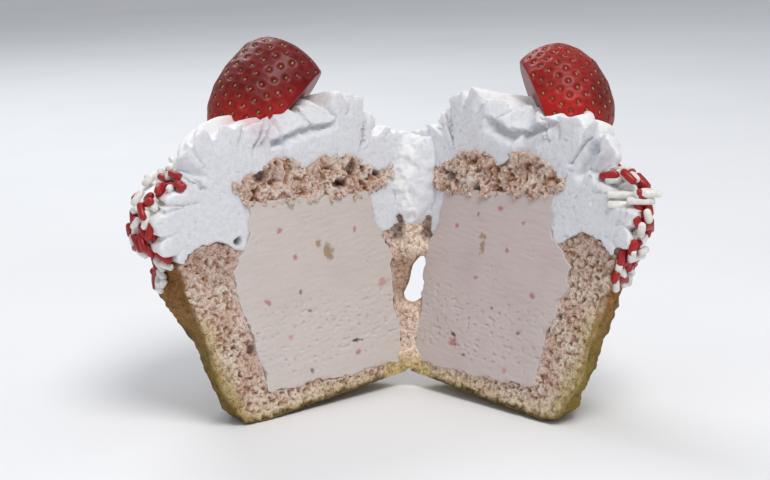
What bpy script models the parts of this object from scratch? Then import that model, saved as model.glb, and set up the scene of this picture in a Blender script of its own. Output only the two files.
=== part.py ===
"""A filled cupcake, cut nearly through and opened like a book. Metres, +Z up, standing on z = 0.

Each half is modelled in its own frame and then swung open about the uncut strip of back wall:
  u  runs along the cut face from the hinge's foot to the outer bottom corner,
  v  is the depth behind the cut face,
  w  runs up the cupcake's own axis.
Round shapes are sections (r, w) swept by theta about that axis, from 0 at the outer wall to pi at the hinge.
"""

import math

import bmesh
import bpy
import numpy as np
from mathutils import Matrix, Vector, noise

# ---------------------------------------------------------------- how the halves stand
OPENING = math.radians(48)  # each cut face is turned this far from the middle plane
LEAN_LEFT = math.radians(13.7)  # a half's own axis leans away from the hinge line
LEAN_RIGHT = math.radians(8.0)
PITCH_BACK = math.radians(9)  # the hinge line leans back, so that both halves rest on their base rims
ROLL = math.radians(3.1)  # and a little to the right, because the left half is pushed down further
HINGE_FOOT = Vector((0.00058, 0.01016, 0.00398))
DEPTH_LEFT = 0.84  # how deep each half is behind its cut face, as a share of a true half round
DEPTH_RIGHT = 0.70
CREAM_BULGE = 0.12  # the cream stands out this much further than the sponge, halfway round

# ---------------------------------------------------------------- sizes
AXIS_U = 0.0253  # the cupcake's axis from the hinge's foot
GAP = 0.0003  # clearance that touching pieces keep
WALL_HEIGHTS = (0.0, 0.0008, 0.0035, 0.009, 0.016, 0.024, 0.032, 0.0425)
WALL_RADII = (0.0205, 0.0236, 0.0258, 0.0280, 0.0297, 0.0312, 0.0329, 0.0347)
HINGE_RADII = (0.0250, 0.0254, 0.0263, 0.0280, 0.0297, 0.0312, 0.0329, 0.0347)
RIM_HEIGHT = (0.0423, 0.0372)  # pairs are (at the outer wall, at the hinge)
SHOULDER_HEIGHT = (0.0462, 0.0376)
SHOULDER_RADIUS = (0.0242, 0.0285)
POCKET_RIM_HEIGHT = (0.0415, 0.0362)
WALL_LUMPS = 0.0007
TEAR_HEIGHTS = (0.0175, 0.0190, 0.0225, 0.0265, 0.0292)
TEAR_LEFT_X = (-0.0005, -0.0014, 0.0004, 0.0016, 0.0032)
TEAR_RIGHT_X = (0.0012, 0.0026, 0.0044, 0.0050, 0.0046)

CORE_HEIGHTS = (0.004, 0.012, 0.021, 0.029, 0.035, 0.0385, 0.044, 0.0515)
CORE_INNER_U = (0.0012, 0.0010, 0.0014, 0.0002, 0.0002, 0.0036, 0.0038, 0.0033)
CORE_OUTER_U = (0.0404, 0.0416, 0.0430, 0.0450, 0.0455, 0.0446, 0.0395, 0.0385)
CORE_FLOOR = ((0.0, 0.0042), (0.041, 0.0078))  # (u, w): the hollow's floor is not quite level
CORE_TOP = ((0.0033, 0.0463), (0.0385, 0.0516))

LID_CENTRE_U = 0.0189
LID_RADIUS = 0.0225
LID_EDGE_HEIGHT = (0.0560, 0.0506)
LID_EDGE_HALF = 0.0016
LID_TOP_U = (-0.0039, 0.004, 0.009, 0.016, 0.020, 0.024, 0.031, 0.038, 0.0416)
LID_TOP_W = (0.0518, 0.0546, 0.0576, 0.0584, 0.0583, 0.0600, 0.0597, 0.0588, 0.0572)
LID_CRAGS = 0.0007

CREAM_RAYS_FROM = (0.0190, 0.0540)  # (r, w): the piped outline is measured out from here
LOWER_ROPE = ((0.0287, 0.0296), (0.0495, 0.0522), 0.0099)  # radius pair, height pair, crest radius
UPPER_ROPE = ((0.0193, 0.0168), (0.0622, 0.0633), 0.0100)
MIDDLE_ROPE = ((0.0030, 0.0030), (0.0610, 0.0620), 0.0094)
CREAM_TOP = 0.0700
RIDGES = 8  # star-tip ridges round each rope
RIDGE_TWIST = 5  # ridges passed in one lap, because the bag turned as it went
RIDGE_DEPTH = 0.0032
RAY_START = math.radians(-33)
RAY_END = math.radians(137)

# Strawberry pieces, each with one side sliced off flat: the tip, the stem end and the way the flat side
# faces are in their half's (u, v, w). Then the radius, the flat side's distance from the berry's axis,
# and the radius share along it.
BERRIES = {
    -1: (
        (0.0070, 0.0155, 0.0808),
        (0.0359, 0.0155, 0.0620),
        (-0.468, -0.513, -0.720),
        0.0131,
        0.0066,
        ((0.0, 0.30), (0.04, 0.62), (0.10, 0.85), (0.20, 0.98), (0.42, 0.99), (0.58, 0.92), (0.72, 0.77), (0.85, 0.5)),
    ),
    1: (
        (0.0152, 0.0145, 0.0839),
        (0.0343, 0.0145, 0.0611),
        (-0.557, -0.686, -0.467),
        0.0121,
        0.0061,
        ((0.0, 0.25), (0.06, 0.55), (0.15, 0.75), (0.30, 0.94), (0.50, 1.0), (0.67, 0.95), (0.78, 0.84), (0.90, 0.6)),
    ),
}
BERRY_FLOOR = 0.0613  # the pieces stand this high, on a thin bed of cream over the lid

SPRINKLE_LENGTH = 0.0064
SPRINKLE_RADIUS = 0.00095
SPRINKLES_PER_HALF = 50
SEED = 7

SWEEP_STEPS = 26
CREAM_STEPS = 18
CREAM_RAYS = 28
PINK = (0.72, 0.42, 0.33, 1)
ICE_PINK = (0.80, 0.66, 0.62, 1)
WHITE = (0.90, 0.90, 0.91, 1)
RED = (0.45, 0.02, 0.02, 1)


# ---------------------------------------------------------------- frames and helpers
def hinge_matrix():
    """The opened pair's frame: z up the hinge line, x to the right, -y towards the gap."""
    turn = Matrix.Rotation(ROLL, 4, "Y") @ Matrix.Rotation(-PITCH_BACK, 4, "X")
    return Matrix.Translation(HINGE_FOOT) @ turn


def half_matrix(side):
    """From a half's own (u, v, w) to the world. side is +1 for the right half and -1 for the left."""
    lean = LEAN_RIGHT if side > 0 else LEAN_LEFT
    out = Vector((side * math.sin(OPENING), -math.cos(OPENING), 0))
    up = Vector((0, 0, 1))
    u = out * math.cos(lean) - up * math.sin(lean)
    v = Vector((side * math.cos(OPENING), math.sin(OPENING), 0))
    w = out * math.sin(lean) + up * math.cos(lean)
    return hinge_matrix() @ Matrix((u, v, w)).transposed().to_4x4()


def swept_matrix(side):
    """For shapes swept round the axis: the knife and its squeeze left neither half quite half a round."""
    depth = DEPTH_RIGHT if side > 0 else DEPTH_LEFT
    return half_matrix(side) @ Matrix.Diagonal((1, depth, 1, 1))


def between(pair, theta):
    """A value that changes from the outer wall's to the hinge's."""
    share = (1 - math.cos(theta)) / 2
    return pair[0] + (pair[1] - pair[0]) * share


def along(line, u):
    (u0, w0), (u1, w1) = line
    return w0 + (w1 - w0) * (u - u0) / (u1 - u0)


def ray_radius(theta, centre_u, radius):
    """How far an off-centre circle reaches from the cupcake's axis in direction theta."""
    shift = centre_u - AXIS_U
    return shift * math.cos(theta) + math.sqrt(radius**2 - (shift * math.sin(theta)) ** 2)


def material(name, colour, roughness):
    made = bpy.data.materials.new(name)
    made.use_nodes = True
    shader = made.node_tree.nodes["Principled BSDF"]
    shader.inputs["Base Color"].default_value = colour
    shader.inputs["Roughness"].default_value = roughness
    shader.inputs["Metallic"].default_value = 0.0
    return made


def add_object(name, bm, finish=None):
    mesh = bpy.data.meshes.new(name)
    bmesh.ops.recalc_face_normals(bm, faces=bm.faces)
    bm.to_mesh(mesh)
    bm.free()
    made = bpy.data.objects.new(name, mesh)
    bpy.context.scene.collection.objects.link(made)
    if finish:
        mesh.materials.append(finish)
        mesh.shade_smooth()
        mesh.set_sharp_from_angle(angle=math.radians(40))
    return made


def swept_half(section_at, steps, roughen=None):
    """A half-round solid: section_at(theta) lists (r, w) from the axis at the bottom to the axis at the top."""
    bm = bmesh.new()
    rings = []
    for step in range(steps + 1):
        theta = math.pi * step / steps
        ring = []
        for r, w in section_at(theta):
            point = Vector((AXIS_U + r * math.cos(theta), r * math.sin(theta), w))
            if roughen:
                point += roughen(point, r, theta)
            ring.append(bm.verts.new(point))
        rings.append(ring)
    for a, b in zip(rings, rings[1:]):
        for j in range(len(a) - 1):
            bm.faces.new((a[j], a[j + 1], b[j + 1], b[j]))
    bm.faces.new(rings[0][::-1])
    bm.faces.new(rings[-1])
    bmesh.ops.remove_doubles(bm, verts=bm.verts, dist=1e-6)
    bmesh.ops.dissolve_degenerate(bm, edges=bm.edges, dist=1e-6)
    return bm


def tube(rings):
    """A closed solid through a list of rings of points, with flat ends."""
    bm = bmesh.new()
    loops = [[bm.verts.new(point) for point in ring] for ring in rings]
    for a, b in zip(loops, loops[1:]):
        for j in range(len(a)):
            k = (j + 1) % len(a)
            bm.faces.new((a[j], a[k], b[k], b[j]))
    bm.faces.new(loops[0][::-1])
    bm.faces.new(loops[-1])
    return bm


def boolean(target, operation, tools, solver="EXACT"):
    """Applies one Boolean with every tool at once, and then drops the tools."""
    gathered = bpy.data.collections.new("tools")
    bpy.context.scene.collection.children.link(gathered)
    for obj in tools:
        bpy.context.scene.collection.objects.unlink(obj)
        gathered.objects.link(obj)
    modifier = target.modifiers.new(operation.lower(), "BOOLEAN")
    modifier.operation = operation
    modifier.solver = solver
    modifier.operand_type = "COLLECTION"
    modifier.collection = gathered
    graph = bpy.context.evaluated_depsgraph_get()
    mesh = bpy.data.meshes.new_from_object(target.evaluated_get(graph))
    target.modifiers.clear()
    target.data = mesh
    for obj in list(gathered.objects):
        bpy.data.objects.remove(obj)
    bpy.data.collections.remove(gathered)


# ---------------------------------------------------------------- ice cream filling
def core_radius(theta, w):
    inner = np.interp(w, CORE_HEIGHTS, CORE_INNER_U)
    outer = np.interp(w, CORE_HEIGHTS, CORE_OUTER_U)
    return ray_radius(theta, (inner + outer) / 2, (outer - inner) / 2)


def core_section(theta, grow=0.0):
    floor_r = core_radius(theta, 0.006)
    low = along(CORE_FLOOR, AXIS_U + floor_r * math.cos(theta)) - grow
    top_r = core_radius(theta, 0.050)
    high = along(CORE_TOP, AXIS_U + top_r * math.cos(theta)) + grow
    points = [(0.0, along(CORE_FLOOR, AXIS_U) - grow)]
    points.append((floor_r * 0.5, along(CORE_FLOOR, AXIS_U + floor_r * 0.5 * math.cos(theta)) - grow))
    for share in np.linspace(0, 1, 9):
        w = low + (high - low) * share
        points.append((core_radius(theta, w) + grow, w))
    points.append((0.0, along(CORE_TOP, AXIS_U) + grow))
    return points


def grown_cutter(name, section, side):
    """A piece's shape grown by the clearance and drawn out past the cut face, to hollow another piece."""
    bm = swept_half(lambda theta: section(theta, GAP), 20)
    for vert in bm.verts:
        if abs(vert.co.y) < 1e-6:
            vert.co.y = -0.0005
    bmesh.ops.transform(bm, matrix=swept_matrix(side), verts=bm.verts)
    return add_object(name, bm)


# ---------------------------------------------------------------- sponge cup
def wall_radius(theta, w):
    return float(between((np.interp(w, WALL_HEIGHTS, WALL_RADII), np.interp(w, WALL_HEIGHTS, HINGE_RADII)), theta))


def rim_points(theta):
    """The baked rim, the domed crumb and the edge of the hollow, from the outside in."""
    rim = between(RIM_HEIGHT, theta)
    shoulder_r, shoulder_w = between(SHOULDER_RADIUS, theta), between(SHOULDER_HEIGHT, theta)
    outer_r = wall_radius(theta, rim)
    pocket = between(POCKET_RIM_HEIGHT, theta)
    return [
        (outer_r, rim),
        ((outer_r + shoulder_r) / 2, (rim + shoulder_w) / 2 + 0.0008),
        (shoulder_r, shoulder_w),
        (core_radius(theta, pocket), pocket),
    ]


def cake_section(theta):
    rim = between(RIM_HEIGHT, theta)
    points = [(0.0, 0.0), (0.0105, 0.0)]
    for share in (0.0, 0.019, 0.082, 0.21, 0.38, 0.56, 0.76):
        points.append((wall_radius(theta, rim * share), rim * share))
    points += rim_points(theta)
    points.append((0.0, 0.036))
    return points


def wall_lumps(point, r, theta):
    """The sponge's outside is uneven where its paper case was pulled off."""
    if r < 0.0225 or point.z > 0.036 or math.sin(theta) < 0.01:
        return Vector((0, 0, 0))
    return Vector((math.cos(theta), math.sin(theta), 0)) * WALL_LUMPS * noise.noise(point * 190) * 2


def hinge_strip():
    """The uncut, torn strip of back wall that still joins the two halves of sponge."""
    rings = []
    for h in np.linspace(0.0022, 0.0365, 9):
        ring = []
        for k in range(12):
            angle = 2 * math.pi * k / 12
            rough = 1 + 0.16 * noise.noise(Vector((k * 3.1, h * 400, 2.0)))
            x = (0.0030 + 0.045 * h) * math.cos(angle) * rough
            y = (0.0030 + 0.040 * h) * math.sin(angle) * rough - 0.0005 - 0.01 * h
            ring.append(hinge_matrix() @ Vector((x, y, h)))
        rings.append(ring)
    return tube(rings)


def tear_cutter():
    """The hole torn through the strip, beside the right half's filling."""
    outline = list(zip(TEAR_LEFT_X, TEAR_HEIGHTS)) + list(zip(TEAR_RIGHT_X, TEAR_HEIGHTS))[::-1]
    return tube([[hinge_matrix() @ Vector((x, y, h)) for x, h in outline] for y in (-0.0075, 0.012)])


def stand_flat(bm):
    """The sponge is pressed flat where each half rests on the table."""
    cut = bmesh.ops.bisect_plane(
        bm,
        geom=bm.verts[:] + bm.edges[:] + bm.faces[:],
        plane_co=(0, 0, 0),
        plane_no=(0, 0, 1),
        clear_inner=True,
    )
    edges = [e for e in cut["geom_cut"] if isinstance(e, bmesh.types.BMEdge)]
    bmesh.ops.holes_fill(bm, edges=edges, sides=0)


def build_cake(finish):
    halves = []
    for side in (1, -1):
        bm = swept_half(cake_section, SWEEP_STEPS, wall_lumps)
        bmesh.ops.transform(bm, matrix=swept_matrix(side), verts=bm.verts)
        stand_flat(bm)
        halves.append(bm)
    cake = add_object("cake", halves[0], finish)
    boolean(cake, "UNION", [add_object("left_sponge", halves[1]), add_object("strip", hinge_strip())])
    hollows = [grown_cutter("hollow", core_section, side) for side in (1, -1)]
    boolean(cake, "DIFFERENCE", hollows + [add_object("tear", tear_cutter())])


# ---------------------------------------------------------------- sponge lids
def lid_top(r, theta):
    reach = ray_radius(theta, LID_CENTRE_U, LID_RADIUS)
    u = AXIS_U + r * math.cos(theta)
    return float(np.interp(u, LID_TOP_U, LID_TOP_W)) - 0.0022 * (r / reach) ** 6


def lid_section(theta, grow=0.0):
    reach, edge = ray_radius(theta, LID_CENTRE_U, LID_RADIUS), between(LID_EDGE_HEIGHT, theta)
    core_edge = core_radius(theta, 0.050)
    points = [(0.0, along(CORE_TOP, AXIS_U) + GAP - grow)]
    for share in (0.5, 0.97):
        u = AXIS_U + core_edge * share * math.cos(theta)
        points.append((core_edge * share, along(CORE_TOP, u) + GAP - grow))
    points.append((reach + grow, edge - LID_EDGE_HALF - grow))
    points.append((reach + grow, edge + LID_EDGE_HALF + grow))
    for share in (0.9, 0.7, 0.5, 0.25, 0.0):
        points.append((reach * share, lid_top(reach * share, theta) + grow))
    return points


def crags(point, r, theta):
    """The lid is torn crumb, so its top is craggy. Nothing stands above the smooth form."""
    if point.z < between(LID_EDGE_HEIGHT, theta) or r < 1e-6:
        return Vector((0, 0, 0))
    return Vector((0, 0, -LID_CRAGS * (1 + noise.noise(point * 330))))


# ---------------------------------------------------------------- whipped cream
def ridge(angle, lap):
    """Round star-tip ridges with sharp furrows, from 0 in a furrow to 1 on a crest."""
    return abs(math.sin((RIDGES * angle + RIDGE_TWIST * lap) / 2))


def rope_reach(direction, rope, theta, lap):
    """How far from the measuring point a ray meets the far side of one rope of cream."""
    radii, heights, crest = rope
    to_rope = Vector((between(radii, theta), between(heights, theta))) - Vector(CREAM_RAYS_FROM)
    near = to_rope.dot(direction)
    reach, size = 0.0, crest
    for _ in range(3):
        under_root = near**2 - to_rope.length_squared + size**2
        if under_root < 0:
            return 0.0
        reach = near + math.sqrt(under_root)
        out = direction * reach - to_rope
        size = crest - RIDGE_DEPTH * (1 - ridge(math.atan2(out.y, out.x), lap)) ** 1.5
    return reach


def cream_point(ray, theta, lap):
    direction = Vector((math.cos(ray), math.sin(ray)))
    reach = max(rope_reach(direction, rope, theta, lap) for rope in (LOWER_ROPE, UPPER_ROPE, MIDDLE_ROPE))
    r = CREAM_RAYS_FROM[0] + direction.x * reach
    return r * (1 + CREAM_BULGE * math.sin(theta)), CREAM_RAYS_FROM[1] + direction.y * reach


def cream_section(side):
    """Cream from the axis inside the lid, out over the sponge's rim and back over the top."""

    def section(theta):
        rim, dome, shoulder, pocket = rim_points(theta)
        points = [(0.0, 0.0530), (pocket[0] - 0.002, pocket[1] + 0.004)]
        points.append((pocket[0] + GAP, pocket[1] + 2 * GAP))
        points += [(r, w + 2 * GAP) for r, w in (shoulder, dome)]
        points.append((rim[0] - 0.0006, rim[1] + 2 * GAP))
        for ray in np.linspace(RAY_START, RAY_END, CREAM_RAYS):
            r, w = cream_point(float(ray), theta, side * theta)
            points.append((max(r, 0.0008), w))
        points.append((0.0, CREAM_TOP))
        return points

    return section


def cream_bridge():
    """Cream that was never cut through: torn, lumpy, and bridging the halves above the sponge strip."""
    rings = []
    for h in np.linspace(0.0400, 0.0590, 6):
        ring = []
        for k in range(12):
            angle = 2 * math.pi * k / 12
            rough = 1 + 0.16 * noise.noise(Vector((k * 2.7, h * 300, 9.0)))
            x = 0.0058 * math.cos(angle) * rough
            y = 0.0044 * math.sin(angle) * rough - 0.0012
            ring.append(hinge_matrix() @ Vector((x, y, h)))
        rings.append(ring)
    return tube(rings)


def sprinkle(place):
    """A short candy rod with pointed-round ends, five-sided."""
    bm = bmesh.new()
    bmesh.ops.create_cone(
        bm,
        cap_ends=True,
        segments=5,
        radius1=SPRINKLE_RADIUS,
        radius2=SPRINKLE_RADIUS,
        depth=SPRINKLE_LENGTH * 0.8,
    )
    poked = bmesh.ops.poke(bm, faces=[f for f in bm.faces if len(f.verts) == 5])
    for vert in poked["verts"]:
        vert.co.z *= 1.25
    bmesh.ops.transform(bm, matrix=place, verts=bm.verts)
    return bm


def sprinkle_places(side):
    """Rods lying every way on the outer face of the lower rope, on an even spiral with a seeded turn."""
    draw = np.random.default_rng(SEED + side)
    to_world = swept_matrix(side)
    normal_to_world = to_world.inverted().transposed().to_3x3()
    places = []
    for k in range(SPRINKLES_PER_HALF):
        theta = math.pi * (0.03 + 0.90 * (k + 0.5) / SPRINKLES_PER_HALF)
        ray = math.radians(-28 + 44 * ((k * 0.618) % 1.0))
        r, w = cream_point(ray, theta, side * theta)
        here = to_world @ Vector((AXIS_U + r * math.cos(theta), r * math.sin(theta), w))
        out = Vector((r - between(LOWER_ROPE[0], theta), w - between(LOWER_ROPE[1], theta))).normalized()
        normal = normal_to_world @ Vector((out.x * math.cos(theta), out.x * math.sin(theta), out.y))
        normal.normalize()
        across = normal.orthogonal().normalized()
        spin = draw.uniform(0, 2 * math.pi)
        tip = draw.uniform(-0.15, 0.4)
        flat = across * math.cos(spin) + normal.cross(across) * math.sin(spin)
        rod = flat * math.cos(tip) + normal * math.sin(tip)
        turn = rod.to_track_quat("Z", "Y").to_matrix().to_4x4()
        places.append(Matrix.Translation(here + normal * SPRINKLE_RADIUS * 0.25) @ turn)
    return places


def build_cream(finish):
    halves = {}
    for side in (1, -1):
        bm = swept_half(cream_section(side), CREAM_STEPS)
        bmesh.ops.transform(bm, matrix=swept_matrix(side), verts=bm.verts)
        halves[side] = bm
    cream = add_object("cream", halves[1], finish)
    boolean(cream, "UNION", [add_object("left_cream", halves[-1]), add_object("bridge", cream_bridge())])
    hollows = []
    for side in (1, -1):
        hollows.append(grown_cutter("round_core", core_section, side))
        hollows.append(grown_cutter("round_lid", lid_section, side))
        hollows.append(add_object("round_berry", berry_shape(side, GAP * 2)))
    boolean(cream, "DIFFERENCE", hollows, "MANIFOLD")  # EXACT leaves a scrap under the lid's edge
    rods = []
    for side in (1, -1):
        for place in sprinkle_places(side):
            rods.append(add_object("sprinkle", sprinkle(place)))
    boolean(cream, "UNION", rods, "MANIFOLD")  # EXACT leaves open edges among so many rods


# ---------------------------------------------------------------- strawberry pieces
def berry_shape(side, grow=0.0):
    """A strawberry standing in the cream, tip towards the hinge, sliced flat along one side."""
    tip, stem, flat_way, radius, trim, profile = BERRIES[side]
    axis = Vector(tip) - Vector(stem)
    length = axis.length
    axis.normalize()
    x = Vector(flat_way)
    x = (x - axis * x.dot(axis)).normalized()
    y = axis.cross(x)
    rings = []
    for share, fullness in profile:
        r = radius * fullness
        cut = math.acos(min(1.0, trim / r))
        centre = Vector(tip) - axis * (length * share)
        ring = []
        for j in range(14):
            angle = cut + (2 * math.pi - 2 * cut) * j / (13 if cut > 0 else 14)
            point = centre + (x * math.cos(angle) + y * math.sin(angle)) * r
            point.z = max(point.z, BERRY_FLOOR)
            ring.append(point)
        rings.append(ring)
    bm = tube(rings)
    bmesh.ops.remove_doubles(bm, verts=bm.verts, dist=1e-5)
    bmesh.ops.recalc_face_normals(bm, faces=bm.faces)
    bmesh.ops.triangulate(bm, faces=bm.faces)
    bm.normal_update()
    offsets = [vert.normal * grow for vert in bm.verts]
    for vert, offset in zip(bm.verts, offsets):
        vert.co += offset
    bmesh.ops.transform(bm, matrix=half_matrix(side), verts=bm.verts)
    return bm


def main():
    for obj in list(bpy.data.objects):
        bpy.data.objects.remove(obj)
    sponge = material("sponge", PINK, 0.9)
    ice = material("ice_cream", ICE_PINK, 0.5)
    white = material("whipped_cream", WHITE, 0.6)
    red = material("strawberry", RED, 0.3)
    build_cake(sponge)
    for side, word in ((1, "right"), (-1, "left")):
        for name, section, rough, finish in (("ice_cream_", core_section, None, ice), ("lid_", lid_section, crags, sponge)):
            bm = swept_half(section, 20, rough)
            bmesh.ops.transform(bm, matrix=swept_matrix(side), verts=bm.verts)
            add_object(name + word, bm, finish)
        add_object("strawberry_" + word, berry_shape(side), red)
    build_cream(white)


main()
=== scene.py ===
import math

import bmesh
import bpy
import numpy as np
from mathutils import Matrix, Vector, noise


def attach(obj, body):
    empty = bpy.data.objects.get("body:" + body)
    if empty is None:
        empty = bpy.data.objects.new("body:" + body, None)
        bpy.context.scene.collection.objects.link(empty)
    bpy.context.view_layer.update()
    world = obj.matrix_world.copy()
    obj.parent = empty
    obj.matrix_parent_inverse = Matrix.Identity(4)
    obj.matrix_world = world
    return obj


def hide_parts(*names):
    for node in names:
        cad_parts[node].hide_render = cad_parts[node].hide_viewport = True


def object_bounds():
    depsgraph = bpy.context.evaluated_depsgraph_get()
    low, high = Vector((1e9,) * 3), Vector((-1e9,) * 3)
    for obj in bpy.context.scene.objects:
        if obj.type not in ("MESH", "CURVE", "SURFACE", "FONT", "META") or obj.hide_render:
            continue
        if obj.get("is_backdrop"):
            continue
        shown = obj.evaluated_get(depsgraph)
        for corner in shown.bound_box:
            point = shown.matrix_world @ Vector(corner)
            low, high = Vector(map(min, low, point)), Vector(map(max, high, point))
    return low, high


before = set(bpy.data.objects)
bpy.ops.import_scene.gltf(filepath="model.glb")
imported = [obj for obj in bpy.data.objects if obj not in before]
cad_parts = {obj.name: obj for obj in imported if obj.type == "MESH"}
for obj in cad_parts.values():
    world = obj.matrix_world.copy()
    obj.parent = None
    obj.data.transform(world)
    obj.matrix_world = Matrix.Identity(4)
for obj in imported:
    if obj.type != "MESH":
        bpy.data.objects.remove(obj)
cad_low, cad_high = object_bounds()

# ---------------------------------------------------------------- How the halves stand, and the camera
# The cupcake was cut from the front nearly through to its back and opened like a book. Each half is worked in
# its own frame: u along the cut face from the hinge's foot, v the depth behind the cut, w up the axis.
# The camera looks slightly down into the opening from a forearm's length away.
LEFT, RIGHT = -1, 1
SIDES = {LEFT: "left", RIGHT: "right"}
OPENING = math.radians(48)
LEANS = {LEFT: math.radians(13.7), RIGHT: math.radians(8.0)}
DEPTHS = {LEFT: 0.84, RIGHT: 0.70}  # share of a true half round
PITCH_BACK = math.radians(9)
ROLL = math.radians(3.1)
HINGE_FOOT = Vector((0.00058, 0.01016, 0.00398))

CAMERA_ANGLES = math.radians(4.8), math.radians(3.0), math.radians(2.3)  # turn, rise, roll
CAMERA_AIM = -0.0073, 0.0327  # to the right and up from the hinge's foot
CAMERA_DISTANCE = 0.439
SENSOR_WIDTH = 36.0
HALF_VIEW = math.radians(12.5)


def hinge_matrix():
    """The opened pair's frame: z up the hinge line, x to the right, -y towards the gap."""
    turn = Matrix.Rotation(ROLL, 4, "Y") @ Matrix.Rotation(-PITCH_BACK, 4, "X")
    return Matrix.Translation(HINGE_FOOT) @ turn


def half_in_hinge(side):
    """From a half's own (u, v, w) to the hinge's frame."""
    lean = LEANS[side]
    out = Vector((side * math.sin(OPENING), -math.cos(OPENING), 0))
    up = Vector((0, 0, 1))
    u = out * math.cos(lean) - up * math.sin(lean)
    v = Vector((side * math.cos(OPENING), math.sin(OPENING), 0))
    w = out * math.sin(lean) + up * math.cos(lean)
    return Matrix((u, v, w)).transposed().to_4x4()


def half_matrix(side):
    return hinge_matrix() @ half_in_hinge(side)


def look_from(turn, rise, roll, aim_right, aim_up, distance):
    """The camera's place in the hinge's frame, from its turn about the hinge line, its rise and its roll."""
    back = Vector((math.sin(turn) * math.cos(rise), -math.cos(turn) * math.cos(rise), math.sin(rise)))
    right = Vector((math.cos(turn), math.sin(turn), 0))
    up = back.cross(right)
    aim = right * aim_right + up * aim_up
    rolled_right = right * math.cos(roll) + up * math.sin(roll)
    rolled_up = up * math.cos(roll) - right * math.sin(roll)
    place = Matrix((rolled_right, rolled_up, back)).transposed().to_4x4()
    return Matrix.Translation(aim + back * distance) @ place


camera_data = bpy.data.cameras.new("camera")
camera_data.sensor_width = SENSOR_WIDTH
camera_data.lens = SENSOR_WIDTH / 2 / math.tan(HALF_VIEW)
camera_data.clip_start = 0.01
camera = bpy.data.objects.new("camera", camera_data)
bpy.context.scene.collection.objects.link(camera)
camera.matrix_world = hinge_matrix() @ look_from(*CAMERA_ANGLES, *CAMERA_AIM, CAMERA_DISTANCE)
bpy.context.scene.camera = camera
bpy.context.scene.view_settings.view_transform = "Standard"

# ---------------------------------------------------------------- Floor and light
# A pale table under an even, cool studio sky, with one large soft lamp above and in front, a little to the
# right, so that the left cut face is the brighter one and the piped tops are the brightest of all.
TABLE_REACH = 4.0
SKY_STRENGTH = 0.50
LAMPS = {  # where, what it points at, size, power, colour
    "key_lamp": ((0.22, -0.42, 0.80), (0, 0, 0.04), 0.42, 4.6, (1.0, 0.985, 0.96)),
    "back_lamp": ((-0.35, 0.60, 0.70), (0, 0, 0.05), 0.50, 3.0, (0.94, 0.97, 1.0)),
}


def shade(red, green, blue):
    """A colour given the way it is read off a screen, 0 to 255, as the shader needs it."""
    linear = [c / 3294.6 if c <= 10.3 else ((c / 255 + 0.055) / 1.055) ** 2.4 for c in (red, green, blue)]
    return (*linear, 1.0)


def feed(tree, socket, value):
    """A value, or the result of another node, goes into a socket."""
    if isinstance(value, bpy.types.NodeSocket):
        tree.links.new(value, socket)
    else:
        socket.default_value = value


def new_finish(name, roughness, **sockets):
    """A material with its shader's even values set; a socket's name has _ for its spaces."""
    finish = bpy.data.materials.new(name)
    finish.use_nodes = True
    skin = finish.node_tree.nodes["Principled BSDF"]
    skin.inputs["Roughness"].default_value = roughness
    for socket, value in sockets.items():
        skin.inputs[socket.replace("_", " ")].default_value = value
    return finish, finish.node_tree


def add_node(tree, kind, **values):
    """A shader node; a value goes to the input of that name, or else to the node's own setting."""
    made = tree.nodes.new(kind)
    for name, value in values.items():
        if name.replace("_", " ") in made.inputs:
            feed(tree, made.inputs[name.replace("_", " ")], value)
        else:
            setattr(made, name, value)
    return made


def clouds(tree, scale, detail, where=None, **more):
    """A soft random pattern, fixed to the piece unless it is told where."""
    where = where or add_node(tree, "ShaderNodeTexCoord").outputs["Object"]
    made = add_node(tree, "ShaderNodeTexNoise", Vector=where, Scale=scale, Detail=detail, **more)
    return made.outputs["Fac"]


def ramp(tree, factor, *stops):
    """A colour ramp of (place, colour) stops."""
    made = tree.nodes.new("ShaderNodeValToRGB")
    tree.links.new(factor, made.inputs["Fac"])
    band = made.color_ramp
    while len(band.elements) < len(stops):
        band.elements.new(0.5)
    for element, (place, colour) in zip(band.elements, stops):
        element.position = place
        element.color = colour
    return made.outputs["Color"]


def put_on(tree, colour, height=None, strength=0.0, distance=0.0):
    """The colour, and the fine relief if there is one, go to the finish's shader."""
    skin = tree.nodes["Principled BSDF"]
    tree.links.new(colour, skin.inputs["Base Color"])
    if height:
        bump = add_node(tree, "ShaderNodeBump", Strength=strength, Distance=distance, Height=height)
        tree.links.new(bump.outputs["Normal"], skin.inputs["Normal"])


def mesh_from(bm, name):
    mesh = bpy.data.meshes.new(name)
    bm.to_mesh(mesh)
    bm.free()
    return mesh


floor_finish, tree = new_finish("pale_table", 0.85)
mottle = clouds(tree, 9.0, 3.0)
put_on(tree, ramp(tree, mottle, (0.3, shade(238, 238, 240)), (0.7, shade(242, 242, 243))))

floor_bm = bmesh.new()
bmesh.ops.create_grid(floor_bm, x_segments=8, y_segments=8, size=TABLE_REACH)
floor_mesh = mesh_from(floor_bm, "table")
floor_mesh.materials.append(floor_finish)
floor = bpy.data.objects.new("table", floor_mesh)
bpy.context.scene.collection.objects.link(floor)
floor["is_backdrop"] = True

sky = bpy.data.worlds.new("sky")
sky.use_nodes = True
sky.node_tree.nodes["Background"].inputs["Color"].default_value = shade(236, 240, 246)
sky.node_tree.nodes["Background"].inputs["Strength"].default_value = SKY_STRENGTH
bpy.context.scene.world = sky

for name, (place, aim, size, power, colour) in LAMPS.items():
    lamp = bpy.data.lights.new(name, "AREA")
    lamp.shape = "DISK"
    lamp.size = size
    lamp.energy = power
    lamp.color = colour
    made = bpy.data.objects.new(name, lamp)
    pointed = (Vector(aim) - Vector(place)).to_track_quat("-Z", "Y").to_matrix().to_4x4()
    made.matrix_world = Matrix.Translation(place) @ pointed
    bpy.context.scene.collection.objects.link(made)

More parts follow.
